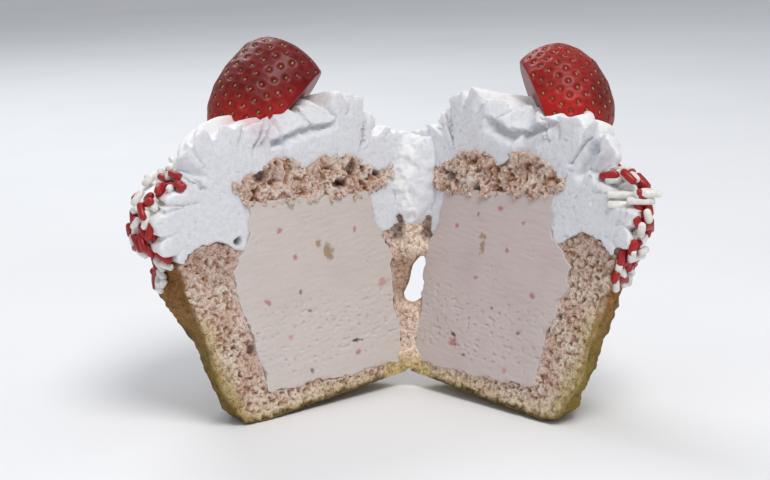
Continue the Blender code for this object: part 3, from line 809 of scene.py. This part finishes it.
for side, word in SIDES.items():
    bm = finely_meshed(swept(side, core_section, 70, 60), ICE_SPACING)
    bm = split_finer(bm, points_of(bm)[0][:, 1] < 0.0006, 2)
    spots, normals = points_of(bm)
    u, v, w = spots.T
    flat = spots * (1, 0, 1)
    cut = on_cut(spots, normals, (0.5, 0.9), (0.0012, 0.0004))
    swell = 0.00010 * lumps(flat, 0.008, 1.0 + side) + 0.00006 * lumps(flat * (0.25, 1, 1), 0.0009, 4.0)
    low_band = step(0.028, 0.020, w + 0.004 * lumps(flat, 0.012, 8.0)) * step(0.006, 0.010, w)
    pits = step(0.28, 0.62, lumps(flat * (0.75, 1, 1.1), 0.0010, 6.0 + side)) * low_band
    swell = swell - PIT_DEPTH * pits + 0.00009 * low_band * lumps(flat * (0.7, 1, 1.1), 0.0008, 44.0 + side)
    grains = step(0.1, 0.5, lumps(flat, 0.0007, 16.0 + side))
    grains = grains * step(0.15, 0.5, lumps(flat, 0.007, 18.0 + side))
    swell = swell - GRAIN_DEPTH * grains
    # Random clouds are the ice cream's own tone; the share from sunk pits and grains is painted shade.
    clouds_and_pit_shade = 0.45 * step(-0.2, 0.8, lumps(flat, 0.010, 12.0)) + 0.4 * pits + 0.3 * grains
    tones = mixed(ICE_TONE[side], ICE_CLOUD_AND_PIT_SHADE[side], np.clip(clouds_and_pit_shade, 0, 1))
    low_down = step(0.030, 0.016, w + 0.003 * lumps(flat, 0.009, 33.0))
    tones = mixed(tones, ICE_LOW, low_down * ICE_LOW_SHARE[side])
    for bit_u, bit_w, wide, high, turn, colour, deep in FRUIT_BITS[side]:
        c, s = math.cos(math.radians(turn)), math.sin(math.radians(turn))
        x, y = u * 1000 - bit_u, w * 1000 - bit_w
        reach = np.hypot((x * c + y * s) / wide, (y * c - x * s) / high) + 0.6 * lumps(flat, 0.0008, bit_u)
        there = step(1.2, 0.4, reach) * cut
        swell = swell - 0.001 * deep * there
        tones = mixed(tones, colour, there * 0.7)
    moved = spots + np.array((0, -1, 0)) * (cut * (swell + 0.0001))[:, None]

    # The knife smeared its edges over the crumb, most of all at the step on the right half.
    inner, outer = core_edges(w)
    sideways = np.clip((u - (inner + outer) / 2) / ((outer - inner) / 2), -1, 1)
    smear = 0.0004 + 0.0011 * lumps(flat, 0.0046, 22.0 + side) + 0.0005 * lumps(flat, 0.0013, 25.0)
    if side == RIGHT:
        smear = smear + 0.0022 * step(0.028, 0.032, w) * step(0.043, 0.038, w) * step(0, 1, sideways)
    moved[:, 0] += fading(v, 0.0025) * smear * sideways**9
    above_floor = w - along(CORE_FLOOR, u)
    moved[:, 2] -= fading(v, 0.0025) * (np.abs(smear) + 0.0010) * step(0.003, 0.0, above_floor)
    tones = mixed(tones, ICE_CRUMBED, step(0.0010, 0.0, above_floor + 0.5 * smear) * 0.5)
    finished_piece("filling_" + word, bm, moved, tones, side, ice_finish, "ice_cream", "ice_cream_" + word)

# ---------------------------------------------------------------- Sponge lids
# The plug of sponge cut out of the hollow and pressed back over the ice cream: the coarsest crumb of all,
# torn into lumps and caves, browner on top, with cream dragged into it by the knife.
LID_CENTRE_U = 0.0189
LID_RADIUS = 0.0225
LID_EDGE_HEIGHT = (0.0560, 0.0506)
LID_EDGE_HALF_THICK = 0.0016
LID_TOP_U = (-0.0039, 0.004, 0.009, 0.016, 0.020, 0.024, 0.031, 0.038, 0.0416)
LID_TOP_W = (0.0518, 0.0546, 0.0576, 0.0584, 0.0564, 0.0598, 0.0597, 0.0588, 0.0572)
LID_TOP_SHARES = (0.9, 0.8, 0.7, 0.6, 0.5, 0.4, 0.3, 0.25, 0.2, 0.15, 0.1, 0.0)  # of the way out
LID_SPACING = 0.00045
LID_CRUMB_SIZES = 0.0026, 0.0013
LID_PALE = shade(234, 216, 202)
LID_PINK = shade(216, 186, 170)
LID_BROWN = shade(208, 182, 166)
LID_CREAMED = shade(236, 226, 216)
# Caves between its lumps: where (u, w), how wide and how deep.
LID_CAVES = {
    LEFT: (
        (0.0337, 0.0575, 0.0018, 0.0020),
        (0.0118, 0.0511, 0.0014, 0.0022),
        (0.0010, 0.0512, 0.0012, 0.0020),
        (0.0373, 0.0528, 0.0009, 0.0018),
        (0.0079, 0.0538, 0.0016, 0.0012),
        (0.0402, 0.0588, 0.0010, 0.0020),
    ),
    RIGHT: (
        (0.0048, 0.0508, 0.0015, 0.0016),
        (0.0145, 0.0494, 0.0015, 0.0022),
        (0.0223, 0.0578, 0.0018, 0.0014),
        (0.0405, 0.0578, 0.0010, 0.0020),
        (0.0229, 0.0496, 0.0016, 0.0016),
        (0.0302, 0.0500, 0.0014, 0.0012),
        (0.0378, 0.0500, 0.0008, 0.0018),
    ),
}


def lid_section(theta):
    reach, edge = ray_radius(theta, LID_CENTRE_U, LID_RADIUS), between(LID_EDGE_HEIGHT, theta)
    core_edge = core_radius(theta, 0.050)
    points = [(r, height_at(CORE_TOP, r, theta)) for r in (0.0, core_edge * 0.5, core_edge * 0.97)]
    points += [(reach, edge - LID_EDGE_HALF_THICK), (reach, edge + LID_EDGE_HALF_THICK)]
    for share in LID_TOP_SHARES:
        top = float(np.interp(AXIS_U + reach * share * math.cos(theta), LID_TOP_U, LID_TOP_W))
        points.append((reach * share, top - 0.0022 * share**6))
    return points


for side, word in SIDES.items():
    bm = finely_meshed(swept(side, lid_section, 60, 60), LID_SPACING)
    bm = split_finer(bm, points_of(bm)[0][:, 1] < 0.0005)
    spots, normals = points_of(bm)
    u, v, w = spots.T
    flat = spots * (1, 0, 1)
    cut = on_cut(spots, normals, (0.35, 0.8), (0.0016, 0.0006))
    sink, pit_shade = crumb(spots, LID_CRUMB_SIZES[0], 21.0 + side)
    finer_sink, finer_pit_shade = crumb(spots, LID_CRUMB_SIZES[1], 24.0 + side)
    coarse = lumps(spots, 0.0036, 2.0 + side)
    out_and_in = 0.0013 * sink + 0.00035 * finer_sink - 0.0006 - 0.0010 * coarse
    moved = spots - normals * (out_and_in * (0.35 + 0.65 * cut))[:, None]
    middle = (along(CORE_TOP, u) + np.interp(u, LID_TOP_U, LID_TOP_W)) / 2
    spread = 0.0005 + 0.0009 * lumps(flat, 0.0030, 7.0 + side)
    moved[:, 2] += spread * np.clip((w - middle) / 0.0038, -1, 1) ** 3
    moved[:, 0] += spread * ((u - LID_CENTRE_U) / LID_RADIUS) ** 5
    tones = mixed(LID_PALE, LID_PINK, step(-0.5, 0.4, lumps(spots, 0.005, 3.0)))
    tones = mixed(tones, LID_BROWN, step(0.053, 0.058, w + 0.002 * coarse) * 0.4)
    smeared = step(0.15, 0.5, lumps(flat * (0.5, 1, 1), 0.0040, 31.0 + side)) * step(0.6, 0.0, pit_shade) * cut
    # Painted shade in the lid's pits, from its coarse and its fine crumb.
    tones = pit_shaded_tones(tones, np.clip(0.8 * pit_shade + 0.4 * finer_pit_shade - 0.15 * coarse, 0, 1), 1.0)
    # Painted shadow in the lid's caves.
    tones = with_shaded_caves(LID_CAVES[side], spots, moved, tones, finer_sink - 0.3, cut)
    tones = mixed(tones, LID_CREAMED, smeared * 0.5)
    crumbly = 1 - 0.8 * smeared
    name = "crumb_lid_" + word
    finished_piece(name, bm, moved, tones, side, sponge_finish, "cake_lid", "lid_" + word, crumbly=crumbly)

# ---------------------------------------------------------------- Whipped cream
# Stiff sweet cream piped round the sponge through a star tip: eight soft ridges with sharp furrows between
# them on each rope. The knife left flat faces in painted cool shade, and folds where two ropes meet; at the
# hinge it is torn.
CREAM_RAYS_FROM = (0.0190, 0.0540)
LOWER_ROPE = ((0.0287, 0.0296), (0.0495, 0.0522), 0.0099)  # radius pair, height pair, crest radius
ROPES = (
    LOWER_ROPE,
    ((0.0193, 0.0168), (0.0622, 0.0633), 0.0100),
    ((0.0112, 0.0100), (0.0618, 0.0622), 0.0092),
    ((0.0030, 0.0030), (0.0610, 0.0620), 0.0094),
)
CREAM_TOP = 0.0700
CREAM_START_HEIGHT = 0.0530
BULGE_HEIGHTS = (0.042, 0.047, 0.052, 0.057, 0.062, 0.066)  # then how much wider it is behind the cut
BULGES = {LEFT: (-0.09, 0.0, 0.08, 0.13, -0.06, -0.12), RIGHT: (-0.12, -0.13, -0.14, -0.13, -0.11, -0.11)}
RIDGES = 8
RIDGE_TWIST = 5
RIDGE_DEPTH = 0.0047
RAY_START = math.radians(-33)
RAY_END = math.radians(137)
POINTS_UNDER = 30  # points of the sheet that lie on the sponge, and then the rays over the top
POINTS_OVER = 150
CREAM_SPACING = 0.00045
CUTTER_INSET = 0.0006


def rope_reach(direction, rope, theta, lap, furrow):
    """How far from the measuring point a ray meets the far side of one rope of cream."""
    radii, heights, crest = rope
    to_rope = Vector((between(radii, theta), between(heights, theta))) - Vector(CREAM_RAYS_FROM)
    near = to_rope.dot(direction)
    reach, size = 0.0, crest
    for _ in range(3):
        under_root = near**2 - to_rope.length_squared + size**2
        if under_root < 0:
            return near if reach else 0.0
        reach = near + math.sqrt(under_root)
        out = direction * reach - to_rope
        ridge = abs(math.sin((RIDGES * math.atan2(out.y, out.x) + RIDGE_TWIST * lap) / 2))
        size = crest - furrow * (1 - ridge) ** 1.25
    return reach


def cream_reach(ray, theta, side, furrow=RIDGE_DEPTH):
    direction = Vector((math.cos(ray), math.sin(ray)))
    return max(rope_reach(direction, rope, theta, side * theta, furrow) for rope in ROPES)


def cream_point(ray, theta, side):
    reach = cream_reach(ray, theta, side)
    r, w = CREAM_RAYS_FROM[0] + math.cos(ray) * reach, CREAM_RAYS_FROM[1] + math.sin(ray) * reach
    return r * (1 + float(np.interp(w, BULGE_HEIGHTS, BULGES[side])) * math.sin(theta)), w


def cream_sheet(side):
    """The cream of one half, from the axis inside the lid out over the sponge's rim and back over the top."""

    def place(s, t):
        theta = math.pi * t
        k = s * (POINTS_UNDER + POINTS_OVER)
        if s > 0.9999:
            r, w = 0.0, CREAM_TOP
        elif k > POINTS_UNDER:
            ray = RAY_START + (RAY_END - RAY_START) * (k - POINTS_UNDER - 1) / (POINTS_OVER - 2)
            r, w = cream_point(ray, theta, side)
            r = max(r, 0.0008)
        else:
            rim, dome, shoulder, pocket = rim_points(theta)
            points = [(0.0, CREAM_START_HEIGHT), (pocket[0] - 0.002, pocket[1] + 0.004)]
            points += [(pocket[0], pocket[1] - 0.0006), (shoulder[0], shoulder[1] - 0.0005)]
            points += [(dome[0], dome[1] - 0.0005), (rim[0] - 0.0006, rim[1] - 0.0004)]
            spots = np.linspace(0, POINTS_UNDER, len(points))
            r, w = (np.interp(k, spots, line) for line in zip(*points))
        return Vector((AXIS_U + r * math.cos(theta), DEPTHS[side] * r * math.sin(theta), w))

    return wrapped(POINTS_UNDER + POINTS_OVER, 110, place)


def drawn_out(bm):
    """A slightly smaller cutter, whose flat face stands out past the cut."""
    for vert in bm.verts:
        if abs(vert.co.y) < 1e-6:
            vert.co.x -= CUTTER_INSET * vert.normal.x
            vert.co.z -= CUTTER_INSET * vert.normal.z
            vert.co.y = -CUTTER_INSET
        else:
            vert.co -= CUTTER_INSET * vert.normal
    return bm


CREAM_WHITE = shade(247, 246, 247)
# Painted shade: the cooler, greyer white of the cut faces.
CREAM_CUT_SHADE = shade(227, 228, 232)
CREAM_JUICE = shade(228, 176, 182)

# Where two ropes fold together on a cut face: the lip's u and w, then how high and how deep the hollow under
# it is, and how far the cream leans back above it.
FOLDS = {
    LEFT: ((0.0125, 0.0197, 0.0228, 0.0262), (0.0664, 0.0667, 0.0662, 0.0655), 0.0030, 0.0024, 0.7),
    RIGHT: (
        (0.0158, 0.0211, 0.0259, 0.0292, 0.0345),
        (0.0672, 0.0654, 0.0662, 0.0685, 0.0700),
        0.0044,
        0.0026,
        0.8,
    ),
}
BERRY_FOOT = {LEFT: (0.0300, 0.0060, 0.0700), RIGHT: (0.0340, 0.0120, 0.0690)}  # where juice ran out
CREAM_HOLES = {LEFT: ((0.0428, 0.0441, 0.0011, 0.0018),), RIGHT: ()}
BITE_U = (0.0463, 0.0549, 0.0556, 0.0647)  # lower edge of the wedge torn out between the ropes on the right
BITE_W = (0.0600, 0.0558, 0.0532, 0.0529)
CURL_CORNER = (0.0468, 0.0589)
TOOTH = ((0.0418, 0.0604), (0.0472, 0.0672))  # furrow beside the pointed tooth on the right, foot to tip
TOOTH_WIDE = (0.0021, 0.0005)


def curled(u, w):
    """How far the left face curls back beyond its outer corner."""
    beyond = (u - CURL_CORNER[0]) * 0.82 - (w - CURL_CORNER[1]) * 0.57
    above = (w - CURL_CORNER[1]) * 0.89 - (u - CURL_CORNER[0]) * 0.46
    return 1.1 * np.clip(beyond, 0, 0.005) * step(0.0, 0.0008, above)


def bitten_out(u, w):
    """How deep the wedge torn out of the right face is, with the furrow and hollow beside its tooth."""
    below = step(0.0, 0.0010, w - np.interp(u, BITE_U, BITE_W))
    depth = 0.0034 - 0.0016 * step(0.0575, 0.0615, w)
    bite = depth * below * step(0.0, 0.0022, BITE_W[0] + 0.9 * (u - BITE_U[0]) - w)
    (foot_u, foot_w), (tip_u, tip_w) = TOOTH
    long = math.hypot(tip_u - foot_u, tip_w - foot_w)
    way_u, way_w = (tip_u - foot_u) / long, (tip_w - foot_w) / long
    share = ((u - foot_u) * way_u + (w - foot_w) * way_w) / long
    aside = (u - foot_u) * way_w - (w - foot_w) * way_u
    wide = TOOTH_WIDE[0] + (TOOTH_WIDE[1] - TOOTH_WIDE[0]) * np.clip(share, 0, 1)
    beside = step(-0.10, 0.10, share) * step(1.10, 0.95, share)
    groove = 0.0015 * step(0.0006, 0.0001, np.abs(aside)) * beside
    hollow = 0.0022 * step(0.0, 0.0006, aside - 0.0004 - wide) * step(0.0040, 0.0022, aside - wide) * beside
    on_tooth = step(0.0, 0.0004, aside) * step(0.0008, 0.0, aside - wide) * beside
    return np.maximum(np.maximum(bite * (1 - 0.9 * on_tooth), hollow), groove)


def fold_back(u, w, side):
    """How far back the cut face lies at each point."""
    lip_u, lip_w, height, deep, lean = FOLDS[side]
    edge = np.interp(u, lip_u, lip_w)
    ends = step(lip_u[0] - 0.003, lip_u[0], u) * step(lip_u[-1] + 0.003, lip_u[-1], u)
    below = (edge - w) / height
    back = ends * (deep * step(0.0, 0.2, below) * step(1.0, 0.3, below) + lean * np.maximum(w - edge, 0))
    return back + (curled if side == LEFT else bitten_out)(u, w)


def furrows(spots, side):
    """How deep the furrow between two ridges runs into the cut face at each point, fading inwards."""
    rays = np.linspace(RAY_START, RAY_END, 400)
    found = np.zeros(len(spots))
    for theta, way in ((0.0, 1), (math.pi, -1)):
        crests = np.array([cream_reach(ray, theta, side, 0.0) for ray in rays])
        edges = np.array([cream_reach(ray, theta, side) for ray in rays])
        x, y = way * (spots[:, 0] - AXIS_U) - CREAM_RAYS_FROM[0], spots[:, 2] - CREAM_RAYS_FROM[1]
        ray = np.arctan2(y, x)
        inside = np.interp(ray, rays, edges) - np.hypot(x, y)
        depth = np.interp(ray, rays, crests - edges) * step(0.0042, 0.0, inside) * (ray > RAY_START)
        depth *= 0.3 + 0.7 * step(math.radians(40), math.radians(60), ray)
        found = np.maximum(found, depth * (x > -CREAM_RAYS_FROM[0]))
    return found * step(0.0, 0.004, spots[:, 0])


cream_finish, tree = new_finish(
    "whipped_cream",
    0.62,
    Specular_IOR_Level=0.35,
    Subsurface_Weight=0.5,
    Subsurface_Scale=0.0025,
    Subsurface_Radius=(1.0, 0.85, 0.75),
)
froth = clouds(tree, 1000.0, 5.0, Roughness=0.65)
airy = tinted(tree, froth, (0.34, (0.90, 0.90, 0.91, 1)), (0.58, (1.0, 1.0, 1.0, 1)))
put_on(tree, airy, froth, 0.7, 0.0004)

BRIDGE_HEIGHTS = (0.0372, 0.0400, 0.0450, 0.0540, 0.0592)
BRIDGE_WIDE = (0.0030, 0.0054, 0.0066, 0.0062, 0.0042)
BRIDGE_DEEP = (0.0030, 0.0046, 0.0052, 0.0048, 0.0034)
BRIDGE_MIDDLE = (0.0, -0.0014)


def bridge_shape(h):
    wide, deep = (float(np.interp(h, BRIDGE_HEIGHTS, line)) for line in (BRIDGE_WIDE, BRIDGE_DEEP))
    return wide, deep, *BRIDGE_MIDDLE


for side, word in SIDES.items():
    # MANIFOLD, because EXACT empties the form at the second cut.
    form = carved(cream_sheet(side), drawn_out(swept(side, core_section, 24, 30)), "MANIFOLD")
    form = carved(form, drawn_out(swept(side, lid_section, 48, 30)), "MANIFOLD")
    if side == LEFT:
        form = joined(form, torn_tube(side, BRIDGE_HEIGHTS, bridge_shape, (40, 30), 9.0))
    bm = finely_meshed(form, CREAM_SPACING)
    spots, normals = points_of(bm)
    u, v, w = spots.T
    flat = spots * (1, 0, 1)
    cut = on_cut(spots, normals, (0.5, 0.9), (0.0012, 0.0004))
    hinge_x, hinge_y, hinge_z = in_hinge_frame(spots, side).T
    torn = step(0.0095, 0.0070, np.hypot(hinge_x, hinge_y)) * (1 - cut)
    rough = 0.00012 * lumps(spots, 0.0035, 4.0) + 0.00006 * lumps(spots, 0.0012, 6.0)
    rough += cut * 0.00012 * lumps(flat, 0.0009, 8.0) * step(-0.2, 0.4, lumps(flat, 0.008, 3.0 + side))
    rough -= cut * 0.00035 * step(0.42, 0.6, lumps(flat, 0.0011, 41.0 + side))
    folds = fold_back(u, w, side)
    bitten = step(0.001, 0.003, folds) * step(0.048, 0.050, u) * (side == RIGHT) * step(0.006, 0.003, v)
    rough += (torn + bitten) * (0.0006 * lumps(spots, 0.0016, 12.0) + 0.0003 * lumps(spots, 0.0008, 14.0))
    rough += bitten * 0.0015 * lumps(spots, 0.0040, 19.0)
    moved = spots + normals * rough[:, None]
    pulled = 0.0008 * shifts(flat, 0.0030, 5.0 + side) + 0.0004 * shifts(flat, 0.0012, 8.0 + side)
    moved += pulled * (1, 0, 1) * fading(v, 0.003)[:, None]
    moved[:, 1] += 0.24 * furrows(spots, side) * fading(v, 0.006) ** 2
    moved[:, 1] += folds * fading(v, 0.012) ** 2
    # The cut faces get painted shade, except where the torn-out wedge faces up.
    tones = mixed(CREAM_WHITE, CREAM_CUT_SHADE, cut * (1 - 0.9 * bitten))
    # Painted shadow in the cream's holes.
    tones = with_shaded_caves(CREAM_HOLES[side], spots, moved, tones, 0.0, cut)
    from_foot = np.linalg.norm(spots - BERRY_FOOT[side], axis=1)
    juicy = step(0.010, 0.002, from_foot + 0.002 * lumps(spots, 0.003, 17.0))
    tones = mixed(tones, CREAM_JUICE, juicy * 0.55)
    finished_piece("piped_cream_" + word, bm, moved, tones, side, cream_finish, "cream", "cream")

# ---------------------------------------------------------------- Sprinkles
# Red and white sugar strands, rolled onto the lowest rope of cream while it was soft, lying every way.
# Each is a short rod with round ends. Some hang lower, on the crust, and on the right a few stand out.
SPRINKLE_LENGTHS = (0.0034, 0.0052)
SPRINKLE_RADIUS = 0.00095
SPRINKLE_GAP = 0.0019  # between the middles of two
SPRINKLES_PER_HALF = 250
SPRINKLE_RAYS = {LEFT: (-36, 40), RIGHT: (-38, 26)}
SPRINKLE_TIPS = (-0.12, 0.35)
LAYER_ONE_SHARE = 0.6
HANGING = {LEFT: 18, RIGHT: 22}
HANGING_FROM = {LEFT: 0.24, RIGHT: 0.0}
HANGING_HEIGHTS = (0.0350, 0.0430)
LOOSE_RODS = (
    (0.0549, -0.0006, 0.0556),
    (0.0556, -0.0008, 0.0534),
    (0.0600, 0.0004, 0.0552),
    (0.0612, 0.0010, 0.0570),
)
LOOSE_WAY = Vector((0.72, 0.66, 0.12)).normalized()
LOOSE_LENGTH = 0.0064
SUGAR = {"red": shade(168, 20, 22), "white": shade(240, 238, 232)}


def lying(middle, way):
    """The place of a rod with this middle, lying this way."""
    return Matrix.Translation(middle) @ way.to_track_quat("Z", "Y").to_matrix().to_4x4()


def fits(place, length, side, front):
    """Whether a rod stays inside the cupcake's own box and behind a plane in front of the half's cut face."""
    ends = [place @ Vector((0, 0, end * length / 2)) for end in (-1, 1)]
    room = SPRINKLE_RADIUS + 0.0001
    limits = [(low + room, high - room) for low, high in zip(cad_low, cad_high)]
    boxed = all(low < value < high for end in ends for value, (low, high) in zip(end, limits))
    to_half = half_matrix(side).inverted()
    return boxed and all((to_half @ end).y > front for end in ends)


def sprinkle_places(side):
    """Where the rods lie: drawn anywhere on the band, but not on top of one that lies there already."""
    draw = np.random.default_rng(7 + side)
    to_world = half_matrix(side) @ Matrix.Diagonal((1, DEPTHS[side], 1, 1))
    normal_to_world = to_world.inverted().transposed().to_3x3()
    middles = []
    while len(middles) < SPRINKLES_PER_HALF + HANGING[side]:
        layer = int(len(middles) > LAYER_ONE_SHARE * SPRINKLES_PER_HALF)
        theta = math.pi * (0.006 + 0.80 * draw.random() ** 1.5)
        ray = math.radians(draw.uniform(*SPRINKLE_RAYS[side]))
        length = draw.uniform(*SPRINKLE_LENGTHS)
        spin, tip = draw.uniform(0, 2 * math.pi), draw.uniform(*SPRINKLE_TIPS)
        r, w = cream_point(ray, theta, side)
        out = Vector((r - between(LOWER_ROPE[0], theta), w - between(LOWER_ROPE[1], theta))).normalized()
        if len(middles) >= SPRINKLES_PER_HALF:
            theta = HANGING_FROM[side] + theta * 0.25
            w = HANGING_HEIGHTS[0] + (HANGING_HEIGHTS[1] - HANGING_HEIGHTS[0]) * draw.random() ** 0.7
            r, out, layer = wall_radius(theta, w) + flare(theta, w, side), Vector((1, -0.1)), 0
        here = to_world @ Vector((AXIS_U + r * math.cos(theta), r * math.sin(theta), w))
        normal = normal_to_world @ Vector((out.x * math.cos(theta), out.x * math.sin(theta), out.y))
        normal.normalize()
        across = normal.orthogonal().normalized()
        flat = across * math.cos(spin) + normal.cross(across) * math.sin(spin)
        middle = here + normal * SPRINKLE_RADIUS * (0.5 + 1.5 * layer)
        place = lying(middle, flat * math.cos(tip) + normal * math.sin(tip))
        crowded = any((middle - other).length < SPRINKLE_GAP for other in middles[-150:])
        if fits(place, length, side, 0.0010) and not crowded:
            middles.append(middle)
            yield place, length


def rod_shape(place, length):
    bm = bmesh.new()
    bmesh.ops.create_uvsphere(bm, u_segments=10, v_segments=8, radius=SPRINKLE_RADIUS)
    for vert in bm.verts:
        vert.co.z += math.copysign(length / 2 - SPRINKLE_RADIUS, vert.co.z) if abs(vert.co.z) > 1e-6 else 0.0
    bmesh.ops.transform(bm, matrix=place, verts=bm.verts)
    return bm


rods = {word: [] for word in SUGAR}
for side in SIDES:
    for k, rod in enumerate(sprinkle_places(side)):
        rods["red" if k * 13 % 20 < 11 else "white"].append(rod)
for spot in LOOSE_RODS:
    place = half_matrix(RIGHT) @ lying(Vector(spot) + LOOSE_WAY * LOOSE_LENGTH / 2, LOOSE_WAY)
    if fits(place, LOOSE_LENGTH, RIGHT, -0.01):
        rods["white"].append((place, LOOSE_LENGTH))
for word, colour in SUGAR.items():
    finish, tree = new_finish(
        "sugar_strand_" + word, 0.38, Specular_IOR_Level=0.5, Subsurface_Weight=0.15, Subsurface_Scale=0.0006
    )
    sugar = clouds(tree, 700.0, 3.0)
    darker = (*(c * 0.82 for c in colour[:3]), 1.0)
    put_on(tree, ramp(tree, sugar, (0.35, darker), (0.6, colour)), sugar, 0.25, 0.0002)
    name = "sprinkles_" + word
    strands = joined(*(rod_shape(*rod) for rod in rods[word]))
    shown_piece(name, mesh_from(strands, name), finish, "cream", "cream")

# ---------------------------------------------------------------- Strawberries
# A ripe strawberry piece stands in the cream on each half, tip towards the hinge, one side sliced off flat.
# Deep glossy red, with a seed in each dimple and a slightly raised rim round it, painted paler as a
# highlight.
BERRY_FLOOR = 0.0613
BERRIES = {  # tip, stem end, the way the flat side faces, radius, how far out the flat side is
    LEFT: ((0.0070, 0.0155, 0.0808), (0.0359, 0.0155, 0.0620), (-0.468, -0.513, -0.720), 0.0131, 0.0066),
    RIGHT: ((0.0152, 0.0145, 0.0839), (0.0343, 0.0145, 0.0611), (-0.557, -0.686, -0.467), 0.0121, 0.0061),
}
BERRY_PROFILES = {  # the share of the way from the tip, and the share of the full radius there
    LEFT: (
        (0.0, 0.008, 0.04, 0.10, 0.20, 0.42, 0.58, 0.72, 0.85, 0.90),
        (0.0, 0.30, 0.62, 0.85, 0.98, 0.99, 0.92, 0.77, 0.5, 0.0),
    ),
    RIGHT: (
        (0.0, 0.008, 0.06, 0.15, 0.30, 0.50, 0.67, 0.78, 0.90, 0.95),
        (0.0, 0.25, 0.55, 0.75, 0.94, 1.0, 0.95, 0.84, 0.6, 0.0),
    ),
}
DIMPLES = 230
DIMPLE_TURN = 2.39996  # from each dimple to the next, so that they spread evenly
DIMPLE_RADIUS = 0.0007
DIMPLE_DEPTH = 0.0004
SEED_HALF_SIZES = (0.00027, 0.00048, 0.00024)
SEED_SUNK = 0.00026
BERRY_RED = shade(184, 22, 18)
BERRY_DARK = shade(104, 3, 5)
# Painted highlight for the dimples' rims.
BERRY_RIM_HIGHLIGHT = shade(190, 92, 84)
# Painted shade in the dimples.
BERRY_DIMPLE_SHADE = shade(74, 8, 12)
BERRY_FLAT = shade(120, 12, 12)
REDDER = {LEFT: 0.0, RIGHT: 0.45}

berry_finish, tree = new_finish(
    "strawberry_skin",
    0.40,
    Specular_IOR_Level=0.25,
    Coat_Weight=0.05,
    Coat_Roughness=0.25,
    Subsurface_Weight=0.15,
    Subsurface_Scale=0.0012,
    Subsurface_Radius=(1.0, 0.25, 0.15),
)
mottle = clouds(tree, 420.0, 4.0)
mottled = tinted(tree, mottle, (0.3, (0.78, 0.72, 0.72, 1)), (0.65, (1.05, 1.05, 1.05, 1)))
put_on(tree, mottled, mottle, 0.25, 0.0003)

seed_finish, tree = new_finish("strawberry_seed", 0.4)
mottle = clouds(tree, 300.0, 2.0)
put_on(tree, ramp(tree, mottle, (0.35, shade(102, 84, 32)), (0.65, shade(172, 142, 66))))

seeds = bmesh.new()
for side, word in SIDES.items():
    tip, stem, flat_way, radius, trim = BERRIES[side]
    shares, fullness = BERRY_PROFILES[side]
    axis = Vector(tip) - Vector(stem)
    length = axis.length
    axis.normalize()
    x = Vector(flat_way)
    x = (x - axis * x.dot(axis)).normalized()
    y = axis.cross(x)

    def on_berry(share, angle):
        """A point on the sliced berry, by its share of the way from the tip and turn from the flat side."""
        r = radius * float(np.interp(share, shares, fullness))
        spot = Vector(tip) - axis * (length * share)
        return spot + x * min(r * math.cos(angle), trim) + y * (r * math.sin(angle))

    def place(s, t):
        spot = on_berry(shares[-1] * t, 2 * math.pi * s)
        spot.z = max(spot.z, BERRY_FLOOR)
        return spot

    bm = wrapped(200, 130, place)
    for _ in range(6):
        every_way = {"use_axis_x": True, "use_axis_y": True, "use_axis_z": True}
        bmesh.ops.smooth_vert(bm, verts=bm.verts, factor=0.5, **every_way)
    spots, normals = points_of(bm)
    flatness = step(0.8, 0.97, normals @ np.array(x))
    sink, rim = np.zeros(len(spots)), np.zeros(len(spots))
    for k in range(DIMPLES):
        share, angle = 0.045 + 0.80 * (k + 0.5) / DIMPLES, DIMPLE_TURN * k
        r = radius * float(np.interp(share, shares, fullness))
        here = on_berry(share, angle)
        if r * math.cos(angle) > trim - 0.0008 or here.z < BERRY_FLOOR + 0.002:
            continue
        away = np.linalg.norm(spots - np.array(here), axis=1)
        sink += np.exp(-((away / DIMPLE_RADIUS) ** 2)) * DIMPLE_DEPTH
        rim += np.exp(-(((away - 0.0011) / 0.0004) ** 2))
        nearest = int(np.argmin(away))
        out = Vector(normals[nearest])
        made = bmesh.ops.create_uvsphere(seeds, u_segments=8, v_segments=6, radius=1.0)
        lie = Matrix((out.cross(axis).normalized(), out.cross(out.cross(axis)).normalized(), out))
        lie = lie.transposed().to_4x4()
        set_in = half_matrix(side) @ Matrix.Translation(Vector(spots[nearest]) - out * SEED_SUNK)
        sized = set_in @ lie @ Matrix.Diagonal((*SEED_HALF_SIZES, 1))
        bmesh.ops.transform(seeds, matrix=sized, verts=made["verts"])
    moved = spots - normals * ((sink - 0.00005 * rim) * (1 - flatness))[:, None]
    redder = step(0.079, 0.067, spots[:, 2] + 0.002 * lumps(spots, 0.006, 3.0 + side)) + REDDER[side]
    if side == RIGHT:  # it turns darker again towards its far side
        redder = redder - 0.9 * step(0.0315, 0.0390, 0.743 * spots[:, 0] + 0.669 * spots[:, 1])
    tones = mixed(BERRY_DARK, BERRY_RED, np.clip(redder, 0, 1))
    # Painted highlight on each dimple's rim.
    tones = mixed(tones, BERRY_RIM_HIGHLIGHT, np.clip(rim, 0, 1) * 0.14)
    # Painted shade in the dimples, deeper where they sink more.
    tones = mixed(tones, BERRY_DIMPLE_SHADE, np.clip(sink / DIMPLE_DEPTH, 0, 1) * 0.35)
    tones = mixed(tones, BERRY_FLAT, flatness * 0.8)
    finished_piece("berry_" + word, bm, moved, tones, side, berry_finish, "strawberry", "strawberry_" + word)

bmesh.ops.recalc_face_normals(seeds, faces=seeds.faces)
shown_piece("berry_seeds", mesh_from(seeds, "berry_seeds"), seed_finish, "strawberry")

low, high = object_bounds()
{"cad": [list(cad_low), list(cad_high)], "visual": [list(low), list(high)]}
